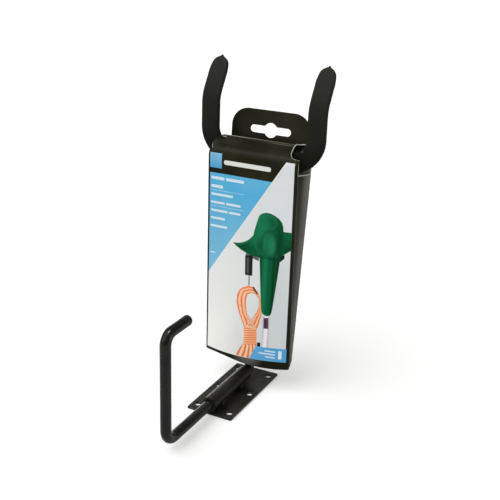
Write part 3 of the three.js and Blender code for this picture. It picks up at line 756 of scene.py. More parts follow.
def plate_outline(inset):
    half, corner = PLATE_WIDTH / 2, PLATE_CORNER
    points = []
    for centre, start in [((half - corner, PLATE_LENGTH - corner), 0),
                          ((-half + corner, PLATE_LENGTH - corner), 90),
                          ((-half + corner, corner), 180), ((half - corner, corner), 270)]:
        points += arc(centre, corner - inset, [math.radians(a) for a in sweep(start, 90, 6)])
    return points


def stamped_plate():
    """Plate with a rolled edge and six holes; its flat faces are triangulated over a grid."""
    verts, faces = [], []

    def strip(loops, flip):
        """Wall through (outline, z) loops; returns its first and last ring and their size."""
        start, count = len(verts), len(loops[0][0])
        last = start + (len(loops) - 1) * count
        for points, z in loops:
            verts.extend((x, y, z) for x, y in points)
        for ring in range(start, last, count):
            faces.extend(f[::-1] if flip else f for f in band(ring, ring + count, count))
        return start, last, count

    def hole(centre, radius):
        return arc(centre, radius, sweep(0, 2 * math.pi, HOLE_SIDES)[:-1])

    edge = [(plate_outline(PLATE_ROLL * (1 - sine) * 0.5),
             -PLATE_THICK + PLATE_ROLL * 0.5 * (1 - cosine)) for sine, cosine in quarter_turn(5)]
    edge += [(plate_outline(PLATE_ROLL * (1 - cosine)), -PLATE_ROLL * (1 - sine))
             for sine, cosine in quarter_turn(5)]
    rims = [strip(edge, False)]
    for centre in HOLES:
        wall = [(hole(centre, HOLE_RADIUS + HOLE_CHAMFER * (1 - k / 3)),
                 -PLATE_THICK + HOLE_CHAMFER * k / 3) for k in range(4)]
        wall += [(hole(centre, HOLE_RADIUS + HOLE_ROLL * (1 - cosine)), -HOLE_ROLL * (1 - sine))
                 for sine, cosine in quarter_turn(4)]
        rims.append(strip(wall, True))

    for outer_face in (True, False):
        vert_ids, points, edges, rim_of = [], [], [], {}
        for number, (first, last, count) in enumerate(rims):
            ring, start = last if outer_face else first, len(points)
            for j in range(count):
                rim_of[ring + j] = number
                vert_ids.append(ring + j)
                points.append(Vector(verts[ring + j][:2]))
                edges.append((start + j, start + (j + 1) % count))
        for y in np.arange(4.0, PLATE_LENGTH - 3.0, 3.7):
            for x in np.arange(-PLATE_WIDTH / 2 + 3.0, PLATE_WIDTH / 2 - 2.0, 3.55):
                if min(math.hypot(x - c[0], y - c[1]) for c in HOLES) > HOLE_RADIUS + 1.6:
                    vert_ids.append(None)
                    points.append(Vector((x, y)))
        flat, _, triangles, sources, _, _ = delaunay_2d_cdt(points, edges, [], 0, 1e-5)
        final_id = []
        for point, source in zip(flat, sources):
            known = [vert_ids[i] for i in source if vert_ids[i] is not None]
            if not known:
                verts.append((point.x, point.y, 0.0 if outer_face else -PLATE_THICK))
                known = [len(verts) - 1]
            final_id.append(known[0])
        for triangle in triangles:
            face = tuple(final_id[i] for i in triangle)
            touched = {rim_of.get(i) for i in face}
            if len(touched) == 1 and not touched & {None, 0}:      # inside a hole
                continue
            faces.append(face if outer_face else face[::-1])
    return verts, faces


piece("plate_stamped", stamped_plate(), PLATE_PAINT, "wall_mount", "wall_plate",
      sharp=40)

# ------------------------------------------------------------------ pivot barrel
BARREL_LENGTH, BARREL_BORE = 58.5, 4.2
BARREL_ROUND, BORE_CHAMFER = 0.45, 0.25
BARREL_SIDES = 96


def barrel():
    """Cut tube along y with broken edges."""
    outer, bore, end = BARREL_RADIUS, BARREL_BORE, BARREL_LENGTH
    profile = [(outer - BARREL_ROUND * (1 - sine), BARREL_ROUND * (1 - cosine))
               for sine, cosine in quarter_turn(6)]                # radius, y
    profile += [(outer, y) for y in np.linspace(BARREL_ROUND, end - BARREL_ROUND, 40)[1:-1]]
    profile += [(outer - BARREL_ROUND * (1 - cosine), end - BARREL_ROUND * (1 - sine))
                for sine, cosine in quarter_turn(6)]
    profile += [(bore + BORE_CHAMFER, end), (bore, end - BORE_CHAMFER)]
    profile += [(bore, y) for y in np.linspace(end - 4, 4, 14)]
    profile += [(bore, BORE_CHAMFER), (bore + BORE_CHAMFER, 0.0)]
    rings = []
    for radius, y in profile:
        ring = []
        for angle in sweep(0, 2 * math.pi, BARREL_SIDES)[:-1]:
            sine, cosine = math.sin(angle), math.cos(angle)
            uneven = radius
            if radius > 5:                                         # outer wall only
                point = (radius * sine, y, BARREL_Z + radius * cosine)
                uneven += wobble(point, scale=0.16, amount=0.035)
            ring.append((uneven * sine, y, BARREL_Z + uneven * cosine))
        rings.append(ring)
    return loft(rings, closed=True)


piece("barrel_tube", barrel(), BARREL_PAINT, "wall_mount", "pivot_barrel",
      sharp=42)

# ------------------------------------------------------------------ weld stitches
WELD_LENGTH, WELD_STEPS = 9, 64
WELD_RADIUS = BARREL_RADIUS + 0.05             # just clear of the barrel
WELD_FOOT = -BARREL_Z + 0.05                   # just clear of the plate, from the barrel axis
WELD_ROOT = (3.3, -6.35)                       # x, z the section shrinks to at the ends
WELD_FROM, WELD_TO = math.radians(19), math.radians(48)
RIPPLE_LAG = 0.03125                           # how far a ripple trails along y, per mm of height


def weld(side, start, seed):
    """Rippled bead in the corner between barrel and plate."""
    top = (WELD_RADIUS * math.sin(WELD_TO), -WELD_RADIUS * math.cos(WELD_TO))
    toe = (top[0] + 0.62, -BARREL_Z + 0.07)
    rings = []
    for i in range(WELD_STEPS + 1):
        along = i / WELD_STEPS
        fullness = math.sqrt(max(0.0, 1 - abs(2 * along - 1) ** 3)) * 0.80 + 0.20
        ripple = abs(math.sin(math.pi * along * 7.5 + seed)) ** 0.6
        section = []                                               # x, z from the barrel axis
        for k in range(7):
            angle = lerp(WELD_FROM, WELD_TO, k / 6)
            section.append((WELD_RADIUS * math.sin(angle), -WELD_RADIUS * math.cos(angle)))
        for k in range(1, 9):
            share = k / 9
            bulge = 0.16 * math.sin(math.pi * share) * (0.3 + 0.7 * ripple)
            section.append((lerp(top[0], toe[0], share) + bulge * 0.55,
                            lerp(top[1], toe[1], share) + bulge))
        for k in range(7):
            section.append((lerp(toe[0], WELD_RADIUS * math.sin(WELD_FROM), k / 6), WELD_FOOT))
        rings.append([
            (side * lerp(WELD_ROOT[0], x, fullness),
             start + WELD_LENGTH * along + RIPPLE_LAG * (1 - ripple) * (z + BARREL_Z),
             BARREL_Z + max(WELD_FOOT, lerp(WELD_ROOT[1], z, fullness))) for x, z in section])
    return loft(rings)


for side, side_name in ((-1, "left"), (1, "right")):
    for start, end_name in ((13, "lower"), (44, "upper")):
        piece(f"weld_bead_{side_name}_{end_name}", weld(side, start, seed=0.7 * start + side),
              WELD_PAINT, "wall_mount", f"barrel_weld_{side_name}_{end_name}",
              sharp=60)

# ------------------------------------------------------------------ swivel rod
ROD_RADIUS, ROD_SIDES = 3.97, 64
ROD_FRONT_Y, ROD_FRONT_Z = -60.45, BARREL_Z + 83.2
# Corners of the rod's middle line: y, z; the last one is where the fork's stem ends
ROD_CORNERS = np.array([(ROD_FRONT_Y + 30.1, ROD_FRONT_Z), (ROD_FRONT_Y, ROD_FRONT_Z),
                        (ROD_FRONT_Y, BARREL_Z), (69.1, BARREL_Z), (70.3, 184.4)])
ROD_BENDS = (8.2, 10.5, 8.8)                   # radius at each inner corner
TIP_ROUND, TOP_ROUND = 1.9, 0.6                # edge radii at the first and last end


def rod_path():
    """Stations (y, z, direction y, direction z): about 3 mm apart, finer round the bends."""
    path = []

    def straight(start, end, direction):
        steps = max(2, int(np.linalg.norm(end - start) / 3.0))
        path.extend((*(start + (end - start) * k / steps), *direction) for k in range(steps))

    here = ROD_CORNERS[0]
    legs = np.diff(ROD_CORNERS, axis=0)
    legs = [leg / np.linalg.norm(leg) for leg in legs]
    for corner, before, after, radius in zip(ROD_CORNERS[1:], legs, legs[1:], ROD_BENDS):
        turn = math.atan2(before[0] * after[1] - before[1] * after[0], before @ after)
        start = corner - before * (radius * math.tan(abs(turn) / 2))
        straight(here, start, before)
        centre = start + np.array([-before[1], before[0]]) * radius * math.copysign(1, turn)
        for angle in sweep(0, turn, 32):
            cosine, sine = math.cos(angle), math.sin(angle)
            rotation = np.array([[cosine, -sine], [sine, cosine]])
            path.append((*(centre + rotation @ (start - centre)), *(rotation @ before)))
        here = np.array(path.pop()[:2])
    straight(here, ROD_CORNERS[-1], legs[-1])
    path.append((*ROD_CORNERS[-1], *legs[-1]))
    return path


def rod():
    """One bent round bar in the middle plane."""
    def ring(y, z, along_y, along_z, radius):
        return [(radius * math.cos(a), y - along_z * radius * math.sin(a),
                 z + along_y * radius * math.sin(a))
                for a in sweep(0, 2 * math.pi, ROD_SIDES)[:-1]]

    def cap(station, edge, inwards):
        """Rounded end, from full radius out to the end face."""
        y, z, along_y, along_z = station
        rings = []
        for sine, cosine in quarter_turn(8):
            back = inwards * edge * (1 - sine)
            rings.append(ring(y + along_y * back, z + along_z * back, along_y, along_z,
                              ROD_RADIUS - edge + edge * cosine))
        return rings

    path = rod_path()
    first, last = path[0], path[-1]
    middle = []
    for y, z, along_y, along_z in path:
        if (math.hypot(y - first[0], z - first[1]) > 2.0
                and math.hypot(y - last[0], z - last[1]) > 0.8):
            radius = ROD_RADIUS + wobble((0, y, z), scale=0.12, amount=0.018)
            middle.append(ring(y, z, along_y, along_z, radius))
    return loft(cap(first, TIP_ROUND, 1)[::-1] + middle + cap(last, TOP_ROUND, -1))


piece("rod_bent", rod(), ROD_PAINT, "swivel_arm", "swivel_rod", sharp=50)

# ------------------------------------------------------------------ dipped grips on the fork
FORK_Y, FORK_LEAN, FORK_LEAN_Z = 76.1, 0.012, 187  # y at FORK_LEAN_Z; y gained per mm of height
CORNER_X, CORNER_Z, CORNER_RADIUS = 24.3, 201.3, 20.0
PRONG_X = CORNER_X + CORNER_RADIUS
TIP_Z, TIP_RADIUS, TIP_RUN = 218.0, 22.0, 26.4     # backward bend, then a straight run
TIP_ANGLE = math.radians(31.0)
GRIP_INNER_X = 19.0
GRIP_SIDES = 56
FAR = 99                                           # stands for any place beyond the tip's taper
GRIP_HALF_WIDTH = 7.4
CORE_SHORT, CORE_HALF_WIDTH, CORE_HALF_THICK = 3.08, 6.47, 1.72
PIP = np.array([PIP_X, 73.45, PIP_Z])

# Distance from the tip, half size
TIP_HALF_WIDTH = [
    (-0.95, 0.16), (-0.85, 0.42), (-0.6, 0.62), (-0.2, 0.78), (0.15, 1.0), (0.8, 2.0),
    (2.0, 3.85), (3.2, 5.03), (4.8, 6.0), (6.5, 6.55), (8.7, 6.96), (12.0, GRIP_HALF_WIDTH)]
TIP_HALF_THICK = [
    (-0.95, 0.16), (-0.85, 0.40), (-0.6, 0.58), (-0.2, 0.72), (0.15, 0.92), (0.8, 1.34),
    (2.0, 1.99), (3.2, 2.38), (4.8, 2.56), (12.0, 2.6)]
# Distances from the tip at which the skin and its hollow have rings
SKIN_ROWS = [
    -0.95, -0.92, -0.85, -0.75, -0.6, -0.4, -0.2, 0.0, 0.15, 0.35, 0.6, 0.8, 1.1, 1.5, 2.0, 2.6,
    3.2, 4.0, 4.8, 5.6, 6.5, 7.5, 8.7, 10.2, 12.0, 13.8, 15.6, 17.4, 19.2, 21.0, 22.8, 24.6, 25.9]
CORE_ROWS = [0.1, 0.3, 0.8, 2.0, 3.2, 4.8, 6.5, 8.7, 12.0, 17.0, 22.0]


def fork_path(run, rows, bend_steps, corner_steps):
    """Stations (distance from tip, x, y, z, direction x, y, z) from a right prong's tip inwards."""
    sine, cosine = math.sin(TIP_ANGLE), math.cos(TIP_ANGLE)
    path = [(row, PRONG_X, FORK_Y + TIP_RADIUS * (1 - cosine) + sine * (run - row),
             TIP_Z + TIP_RADIUS * sine + cosine * (run - row), 0, -sine, -cosine)
            for row in rows]
    for k in range(bend_steps + 1):
        angle = TIP_ANGLE * (1 - k / bend_steps)
        sine, cosine = math.sin(angle), math.cos(angle)
        path.append((FAR, PRONG_X, FORK_Y + TIP_RADIUS * (1 - cosine), TIP_Z + TIP_RADIUS * sine,
                     0, -sine, -cosine))
    path += [(FAR, PRONG_X, FORK_Y, z, 0, 0, -1) for z in np.linspace(TIP_Z, CORNER_Z, 8)[1:-1]]
    path += [(FAR, CORNER_X + CORNER_RADIUS * cosine, FORK_Y, CORNER_Z - CORNER_RADIUS * sine,
              -sine, 0, -cosine) for sine, cosine in quarter_turn(corner_steps)]
    path += [(FAR, x, FORK_Y, CORNER_Z - CORNER_RADIUS, -1, 0, 0)
             for x in np.linspace(CORNER_X, GRIP_INNER_X, 4)[1:]]
    return [(row, x, y + (z - FORK_LEAN_Z) * FORK_LEAN, z, *along)
            for row, x, y, z, *along in path]


def bar_section(station, half_width, half_thick, roundness):
    """(point, outward direction) pairs round the bar at a station of the path."""
    centre, along = np.array(station[:3]), station[3:]
    across = np.array([-along[2], 0, along[0]]) / math.hypot(along[0], along[2])
    through = np.cross(along, across)
    power = 2.0 / (2.0 + 3.2 * (1 - roundness))
    pairs = []
    for k in range(GRIP_SIDES):
        angle = 2 * math.pi * (k + 0.5) / GRIP_SIDES
        wide, thick = (math.copysign(abs(share) ** power, share)
                       for share in (math.cos(angle), math.sin(angle)))
        outward = across * wide + through * thick
        pairs.append((centre + across * (half_width * wide) + through * (half_thick * thick),
                      outward / np.linalg.norm(outward)))
    return pairs


def grip(side):
    """Vinyl skin over one prong, open at its inner end where it rolls into the hollow."""
    mirror = np.array([side, 1, 1])
    skin = []
    for row, *station in fork_path(TIP_RUN, SKIN_ROWS, bend_steps=16, corner_steps=30):
        half_width = smooth(TIP_HALF_WIDTH, row)
        ring = []
        for point, outward in bar_section(station, half_width, smooth(TIP_HALF_THICK, row), 0.42):
            uneven = (wobble(point, scale=0.22, amount=0.07, seed=side * 3.1)
                      + wobble(point, scale=0.7, amount=0.02, seed=side * 1.7))
            point = point + outward * uneven * min(1.0, half_width / 5)
            gap = np.linalg.norm(point - PIP)
            if gap < 2.4:
                point[1] -= 0.5 * math.exp(-(gap / 0.9) ** 2)
            ring.append(point * mirror)
        skin.append(ring)
    core = []
    for row, *station in fork_path(TIP_RUN - CORE_SHORT, CORE_ROWS, bend_steps=8,
                                   corner_steps=18):
        taper = smooth(TIP_HALF_WIDTH, row + 0.56) / GRIP_HALF_WIDTH
        section = bar_section(station, CORE_HALF_WIDTH * taper, CORE_HALF_THICK, 0.1)
        core.append([point * mirror for point, _ in section])
    lip = []
    for k in range(1, 6):
        ring = lerp(np.array(skin[-1]), np.array(core[-1]), k / 6)
        ring[:, 0] -= side * 0.45 * math.sin(math.pi * k / 6)
        lip.append(ring)
    return loft(skin + lip + core[::-1])


for side, side_name in ((-1, "left"), (1, "right")):
    piece(f"grip_skin_{side_name}", grip(side), VINYL, "swivel_arm", f"grip_{side_name}",
          sharp=60)

# ------------------------------------------------------------------ card sleeve: shape
BOARD = 0.7                                    # thickness
SLEEVE_FOOT = 19.0
FRONT_HALF_WIDTH = 37.3
FOLD_RADIUS = 0.75
PANEL_COLUMNS = 8                              # of faces across each side panel
# By height z: the back panel's y, and its half width
BACK_Y = [(19, 74.6), (171.5, 88.4), (193.3, 90.6)]
BACK_HALF_WIDTH = [(19, 34.2), (172, 36.5), (193.3, 36.6)]
# y, z up the front fold and over the roof to its crest, and up the back to the same crest
ROOF = [
    (60.6, 182.0), (60.75, 183.4), (61.2, 185.0), (61.9, 186.3), (62.9, 187.5), (64.2, 188.5),
    (65.9, 189.5), (67.9, 190.4), (70.0, 191.1), (72.3, 191.75), (74.8, 192.35), (77.4, 192.95),
    (79.8, 193.5), (81.4, 193.85), (82.6, 193.9)]
REAR = [
    (89.2, 182.0), (89.5, 184.0), (89.7, 186.0), (89.9, 188.0), (90.1, 189.6), (90.25, 190.8),
    (90.35, 191.6), (90.1, 192.0), (89.3, 192.1), (88.0, 192.35), (86.6, 192.7), (85.3, 193.1),
    (84.3, 193.5), (83.6, 193.8), (82.6, 193.9)]
ROOF_HEIGHT = ROOF + [(84.3, 193.5), (86.6, 192.7), (89.3, 192.1)]
# How far the front panel's foot hangs down, from its left end (-1) to its right (1)
FOOT_DROP = [(-1, -0.2), (-0.7, -0.9), (-0.4, -0.7), (0, 0.9), (0.4, 1.6), (0.7, 1.5), (1, 0.9)]
DROP_SHARES = (1, 0.6, 0.2)                    # of the drop, taken by the three lowest rows
SLEEVE_ROWS = [SLEEVE_FOOT, 20.5, 22.5, *np.linspace(25, 182, 34)]


def depth_share(y, z):
    """0 at the sleeve's front fold, 1 at its back."""
    return (y - SLEEVE_FRONT_Y) / (interp(BACK_Y, z) - SLEEVE_FRONT_Y)


def sleeve_half_width(y, z):
    return lerp(FRONT_HALF_WIDTH, interp(BACK_HALF_WIDTH, z), clamp(depth_share(y, z)))


def roof_z(y):
    return interp(ROOF_HEIGHT, y)


def sleeve_section(across):
    """(y, z) up the front, over the crest and down the back, at -1 (left) to 1 (right)."""
    front = []
    for k, z in enumerate(SLEEVE_ROWS):
        bow = 7.4 * max(0.0, 1 - (z - SLEEVE_FOOT) / 120) ** 1.6
        drop = interp(FOOT_DROP, across) * DROP_SHARES[k] if k < 3 else 0
        front.append((SLEEVE_FRONT_Y - bow * (1 - across * across), z - drop))
    back = [(interp(BACK_Y, z), z) for z in SLEEVE_ROWS]
    return np.array(front + ROOF[1:] + (back + REAR[1:])[::-1][1:], float)


def sleeve_solid(inset, fold, below):
    """Closed block of the sleeve, moved in by `inset` and run `below` past its foot.

    The foot is the last face.
    """
    corner = [(-1.0, 0.0, 0.0)]                # place across, inset, step in from the side
    if fold:
        corner = [(-1.0, fold * (1 - sine), fold * (1 - cosine))
                  for sine, cosine in quarter_turn(5)]
    stations = corner + [(across, 0.0, None) for across in np.linspace(-1, 1, 45)[1:-1]]
    stations += [(-across, shrink, step) for across, shrink, step in corner[::-1]]
    verts, faces, grid = [], [], []
    for across, shrink, step in stations:
        chain = sleeve_section(across)
        after, before = np.roll(chain, -1, 0), np.roll(chain, 1, 0)
        after[-1], before[0] = chain[-1] * 2 - chain[-2], chain[0] * 2 - chain[1]
        tangent = after - before
        tangent /= np.linalg.norm(tangent, axis=1)[:, None]
        inward = np.stack([tangent[:, 1], -tangent[:, 0]], 1)
        moved = chain + inward * (inset + shrink)
        for end in (0, -1):
            moved[end, 1] = chain[end, 1] - below
        grid.append(list(range(len(verts), len(verts) + len(chain))))
        for (y, z), place in zip(moved, chain):
            half = sleeve_half_width(*place) - inset
            if step is None:
                limit = half - fold
                x = max(-limit, min(limit, across * half))
            else:
                x = math.copysign(half - step, across)
            verts.append((x, y, z))
    for row, following in zip(grid, grid[1:]):
        faces += [(row[j], row[j + 1], following[j + 1], following[j])
                  for j in range(len(row) - 1)]

    feet = []
    for row, flip in ((grid[0], True), (grid[-1], False)):         # side panels
        ladder = []
        for first, last in zip(row, row[::-1][:len(SLEEVE_ROWS) + len(ROOF) - 1]):
            rung = [first] * (PANEL_COLUMNS + 1)                   # a single point at the crest
            if first != last:
                ends = np.array(verts[first]), np.array(verts[last])
                rung = [first, *range(len(verts), len(verts) + PANEL_COLUMNS - 1), last]
                verts += [tuple(lerp(*ends, c / PANEL_COLUMNS)) for c in range(1, PANEL_COLUMNS)]
            ladder.append(rung)
        for rung, above in zip(ladder, ladder[1:]):
            for c in range(PANEL_COLUMNS):
                face = tuple(dict.fromkeys((rung[c], rung[c + 1], above[c + 1], above[c])))
                faces.append(face[::-1] if flip else face)
        feet.append(ladder[0][1:-1])
    left_foot, right_foot = feet
    faces.append(tuple([row[0] for row in grid] + right_foot
                       + [row[-1] for row in grid][::-1] + left_foot[::-1]))
    return verts, faces


# ------------------------------------------------------------------ card sleeve: cutting
def solid(name, verts, faces, materials, face_materials=None):
    """Working solid, in millimetres so that the cuts are well scaled."""
    mesh = bpy.data.meshes.new(name)
    mesh.from_pydata([tuple(p) for p in to_row_frame(verts) * 1000.0], [], faces)
    for material in materials:
        mesh.materials.append(material)
    mesh.polygons.foreach_set("material_index", face_materials or [0] * len(faces))
    tidy(mesh, merge=1e-4)
    return add_object(name, mesh)


def combine(target, tool, operation):
    """Applies a Boolean to the target and removes the tool."""
    boolean = target.modifiers.new("cut", "BOOLEAN")
    boolean.operation, boolean.solver, boolean.object = operation, "MANIFOLD", tool
    boolean.material_mode = "TRANSFER"
    depsgraph = bpy.context.evaluated_depsgraph_get()
    depsgraph.update()
    result = bpy.data.meshes.new_from_object(target.evaluated_get(depsgraph), depsgraph=depsgraph)
    target.modifiers.clear()
    old = target.data
    target.data = result
    bpy.data.meshes.remove(old)
    bpy.data.objects.remove(tool)


TAB_HALF_WIDTH, TAB_TOP, TAB_CORNER, TAB_FOOT = 33.3, 214.9, 14.0, 189.6
TAB_Y, TAB_Y_AT, TAB_LEAN = 90.55, 193.3, math.tan(math.radians(5.7))
TAB_FRONT, TAB_THICK = -0.60, 0.58
SLOT_Z, SLOT_HALF_HEIGHT, SLOT_HALF_LENGTH, SLOT_RADIUS = 199.9, 2.9, 17.0, 5.65
SLOT_END_X = SLOT_HALF_LENGTH - SLOT_HALF_HEIGHT           # centre of the slot's round ends
TAB_CORNER_X, TAB_CORNER_Z = TAB_HALF_WIDTH - TAB_CORNER, TAB_TOP - TAB_CORNER


def on_tab(x, z):
    """Whether a point of the sheet is board, not slot or outside."""
    if abs(x) > TAB_HALF_WIDTH or z > TAB_TOP or z < TAB_FOOT:
        return False
    if ((abs(x) <= SLOT_END_X and abs(z - SLOT_Z) < SLOT_HALF_HEIGHT)
            or math.hypot(x, z - SLOT_Z) < SLOT_RADIUS
            or math.hypot(abs(x) - SLOT_END_X, z - SLOT_Z) < SLOT_HALF_HEIGHT):
        return False
    return not (abs(x) > TAB_CORNER_X and z > TAB_CORNER_Z and
                math.hypot(abs(x) - TAB_CORNER_X, z - TAB_CORNER_Z) > TAB_CORNER + 1e-6)


def tab_solid():
    """Hang tab: round-cornered sheet with a round-and-bar slot, leaning back."""
    quarter, half_turn = math.pi / 2, math.pi
    outline = arc((TAB_CORNER_X, TAB_CORNER_Z), TAB_CORNER, sweep(0, quarter, 24))
    outline += arc((-TAB_HALF_WIDTH + TAB_CORNER, TAB_CORNER_Z), TAB_CORNER,
                   sweep(quarter, quarter, 24))
    outline += [(-TAB_HALF_WIDTH, z) for z in np.linspace(TAB_CORNER_Z, TAB_FOOT, 8)[1:]]
    outline += [(x, TAB_FOOT) for x in np.linspace(-TAB_HALF_WIDTH, TAB_HALF_WIDTH, 24)[1:]]
    outline += [(TAB_HALF_WIDTH, z) for z in np.linspace(TAB_FOOT, TAB_CORNER_Z, 8)[1:-1]]
    meet = math.asin(SLOT_HALF_HEIGHT / SLOT_RADIUS)       # where the round leaves the bar
    slot = arc((SLOT_END_X, SLOT_Z), SLOT_HALF_HEIGHT, sweep(-quarter, half_turn, 12))
    slot += arc((0, SLOT_Z), SLOT_RADIUS, sweep(meet, half_turn - meet - meet, 16))
    slot += arc((-SLOT_END_X, SLOT_Z), SLOT_HALF_HEIGHT, sweep(quarter, half_turn, 12))
    slot += arc((0, SLOT_Z), SLOT_RADIUS,
                sweep(half_turn + meet, 2 * half_turn - meet - (half_turn + meet), 16))
    points = [Vector(p) for p in outline + slot]
    edges = [(k, (k + 1) % len(outline)) for k in range(len(outline))]
    edges += [(len(outline) + k, len(outline) + (k + 1) % len(slot)) for k in range(len(slot))]
    for z in np.arange(191.5, 214, 2.6):
        for x in np.arange(-31, 31.5, 3.1):
            near = min(math.hypot(x - p[0], z - p[1]) for p in outline + slot)
            if near > 1.1 and on_tab(x, z):
                points.append(Vector((x, z)))
    flat, _, triangles, _, _, _ = delaunay_2d_cdt(points, edges, [], 0, 1e-6)

    count = len(flat)
    verts = [(p.x, TAB_Y + (p.y - TAB_Y_AT) * TAB_LEAN + offset, p.y)
             for offset in (TAB_FRONT, TAB_FRONT + TAB_THICK) for p in flat]
    faces = []
    for triangle in triangles:
        if on_tab(sum(flat[i].x for i in triangle) / 3, sum(flat[i].y for i in triangle) / 3):
            faces += [tuple(triangle), tuple(i + count for i in triangle[::-1])]
    sheet_faces = len(faces)
    sides = [side for face in faces[::2] for side in zip(face, face[1:] + face[:1])]
    known = set(sides)
    faces += [(q, p, p + count, q + count) for p, q in sides if (q, p) not in known]
    return verts, faces, [PRINT, CORE], [0] * sheet_faces + [1] * (len(faces) - sheet_faces)


def cutter(rings):
    """Solid through equal closed rings, with flat ends."""
    count = len(rings[0])
    last = (len(rings) - 1) * count
    faces = [tuple(range(count))[::-1], tuple(range(last, last + count))]
    for start in range(0, last, count):
        faces += band(start, start + count, count)
    return solid("cutter", [p for ring in rings for p in ring], faces, [CORE])


def grow(plan, distance):
    """Moves a closed plan outline outwards."""
    points = np.array(plan, float)
    before = np.roll(points, 1, 0)
    tangent = np.roll(points, -1, 0) - before
    tangent /= np.linalg.norm(tangent, axis=1)[:, None]
    turning = np.sign(np.sum(before[:, 0] * points[:, 1] - points[:, 0] * before[:, 1]))
    outward = np.stack([tangent[:, 1], -tangent[:, 0]], 1) * turning
    return [tuple(p) for p in points + outward * distance]


def roof_cutter(plan, rim):
    """Goes down through the roof only; its mouth flares to show a thin rim of cut board."""
    wide = grow(plan, rim)
    return cutter([[(x, y, roof_z(y) - 2.2) for x, y in plan],
                   [(x, y, roof_z(y) - 0.40) for x, y in plan],
                   [(x, y, roof_z(y) + 0.08) for x, y in wide],
                   [(x, y, 206.0) for x, y in wide]])


def side_cutter(side, back_y):
    """Goes in through a side panel; its foot slopes and is rounded at both corners."""
    front_y, front_round, back_round = 62.4, 1.4, 1.0
    foot_z, slope = 176.6, -0.1905
    back_z = foot_z + slope * (back_y - front_y)
    loop = arc((front_y + front_round, foot_z + slope * front_round + front_round), front_round,
               sweep(math.pi, math.pi / 2, 6))
    loop += [(y, foot_z + slope * (y - front_y))
             for y in np.linspace(front_y + front_round, back_y - back_round, 10)[1:-1]]
    loop += arc((back_y - back_round, back_z - slope * back_round + back_round), back_round,
                sweep(-math.pi / 2, math.pi / 2, 6))
    loop += [(back_y, z) for z in (178.0, 184.0, 189.0, 191.2)]
    loop += [(y, roof_z(y) - 0.74) for y in (86.0, 82.6, 79.0, 75.0, 71.0, 67.0, 64.5)
             if y < back_y - 1]
    loop += [(front_y, z) for z in (186.6, 184.0, 181.0)]
    wide = [(lerp(p[0], q[0], 1.15), lerp(p[1], q[1], 0.62)) for p, q in zip(loop, grow(loop, 1.0))]

    def panel_x(y, z, offset):
        return side * (sleeve_half_width(y, min(z, 190.0)) + offset)

    return cutter([[(side * 33.0, y, z) for y, z in loop],
                   [(panel_x(y, z, -0.16), y, z) for y, z in loop],
                   [(panel_x(y, z, 0.03), y, z) for y, z in wide],
                   [(side * 43.0, y, z) for y, z in wide]])


def rounded_plan(points, steps=5):
    """Catmull-Rom curve through the points, run straight out to x = 42 at both ends."""
    points = np.array(points, float)
    ends = [(42.0, points[0][1]), (42.0, points[-1][1])]
    curve = [tuple(points[0])]
    for i in range(len(points) - 1):
        before, start, end = points[max(i - 1, 0)], points[i], points[i + 1]
        after = points[min(i + 2, len(points) - 1)]
        for k in range(1, steps + 1):
            share = k / steps
            curve.append(tuple(0.5 * (
                2 * start + (end - before) * share
                + (2 * before - 5 * start + 4 * end - after) * share**2
                + (-before + 3 * start - 3 * end + after) * share**3)))
    return [ends[0], *curve, ends[1]]


# Edges of the roof's openings, (distance from the middle plane, y), front to back
RIGHT_OPENING = [
    (38.4, 63.7), (36.6, 63.7), (34.0, 63.9), (31.8, 64.3), (30.2, 65.3), (29.1, 66.9),
    (28.3, 68.6), (27.7, 70.5), (27.0, 73.4), (26.3, 76.8), (25.9, 80.0), (26.0, 82.6),
    (27.0, 85.0), (29.2, 86.8), (32.5, 87.5), (36.0, 87.6)]
LEFT_OPENING = [
    (37.0, 62.1), (35.5, 62.3), (35.3, 63.2), (36.0, 64.4), (36.9, 66.4), (37.25, 69.0),
    (37.1, 71.4), (36.2, 72.6), (34.2, 73.0), (32.4, 73.3), (31.4, 74.5), (31.3, 76.3),
    (31.5, 78.0), (32.6, 79.2), (34.6, 79.4), (37.6, 79.6)]


def card_warp(x, y, z):
    """Soft warps that real card takes; both faces of the sheet move together."""
    shift_x = shift_y = shift_z = 0.0
    if 25 < z < 190 and y > 61.2 and abs(x) > 30:        # sides pull in between their folds
        share = (y - SLEEVE_FRONT_Y) / max(1.0, interp(BACK_Y, z) - SLEEVE_FRONT_Y)
        if 0.02 < share < 0.98:
            pull = (0.75 * math.sin(math.pi * share) * min(1, (z - SLEEVE_FOOT) / 30)
                    * clamp((176 - z) / 22))
            shift_x = -math.copysign(pull, x)
    if z > 187.5 and 64.0 < y < 73.6 and x < -28:        # the roof's left lip is bent up
        shift_z += 2.0 * clamp((-x - 28.0) / 9.0) ** 1.8 * ease(clamp((y - 64.0) / 6.5))
    if z > 189.5 and x > 22 and y < 91.5:                # its right rear corner stands up
        rise = clamp((y - 74.0) / 9.0) * clamp((91.0 - y) / 2.5) * clamp((z - 189.5) / 2.5)
        shift_z += 1.5 * ease(clamp((x - 22.0) / 9.0)) * rise
    if z > 195:                                          # the tab curls slightly
        shift_y += 0.35 * math.sin(x / 33 * 2.2 + 0.6) * min(1, (z - 195) / 12)
    if 30 < z < 180 and y > 70:
        shift_y += wobble((x, 0, z), scale=0.03, amount=0.25)
    return Vector((shift_x, shift_y, shift_z))


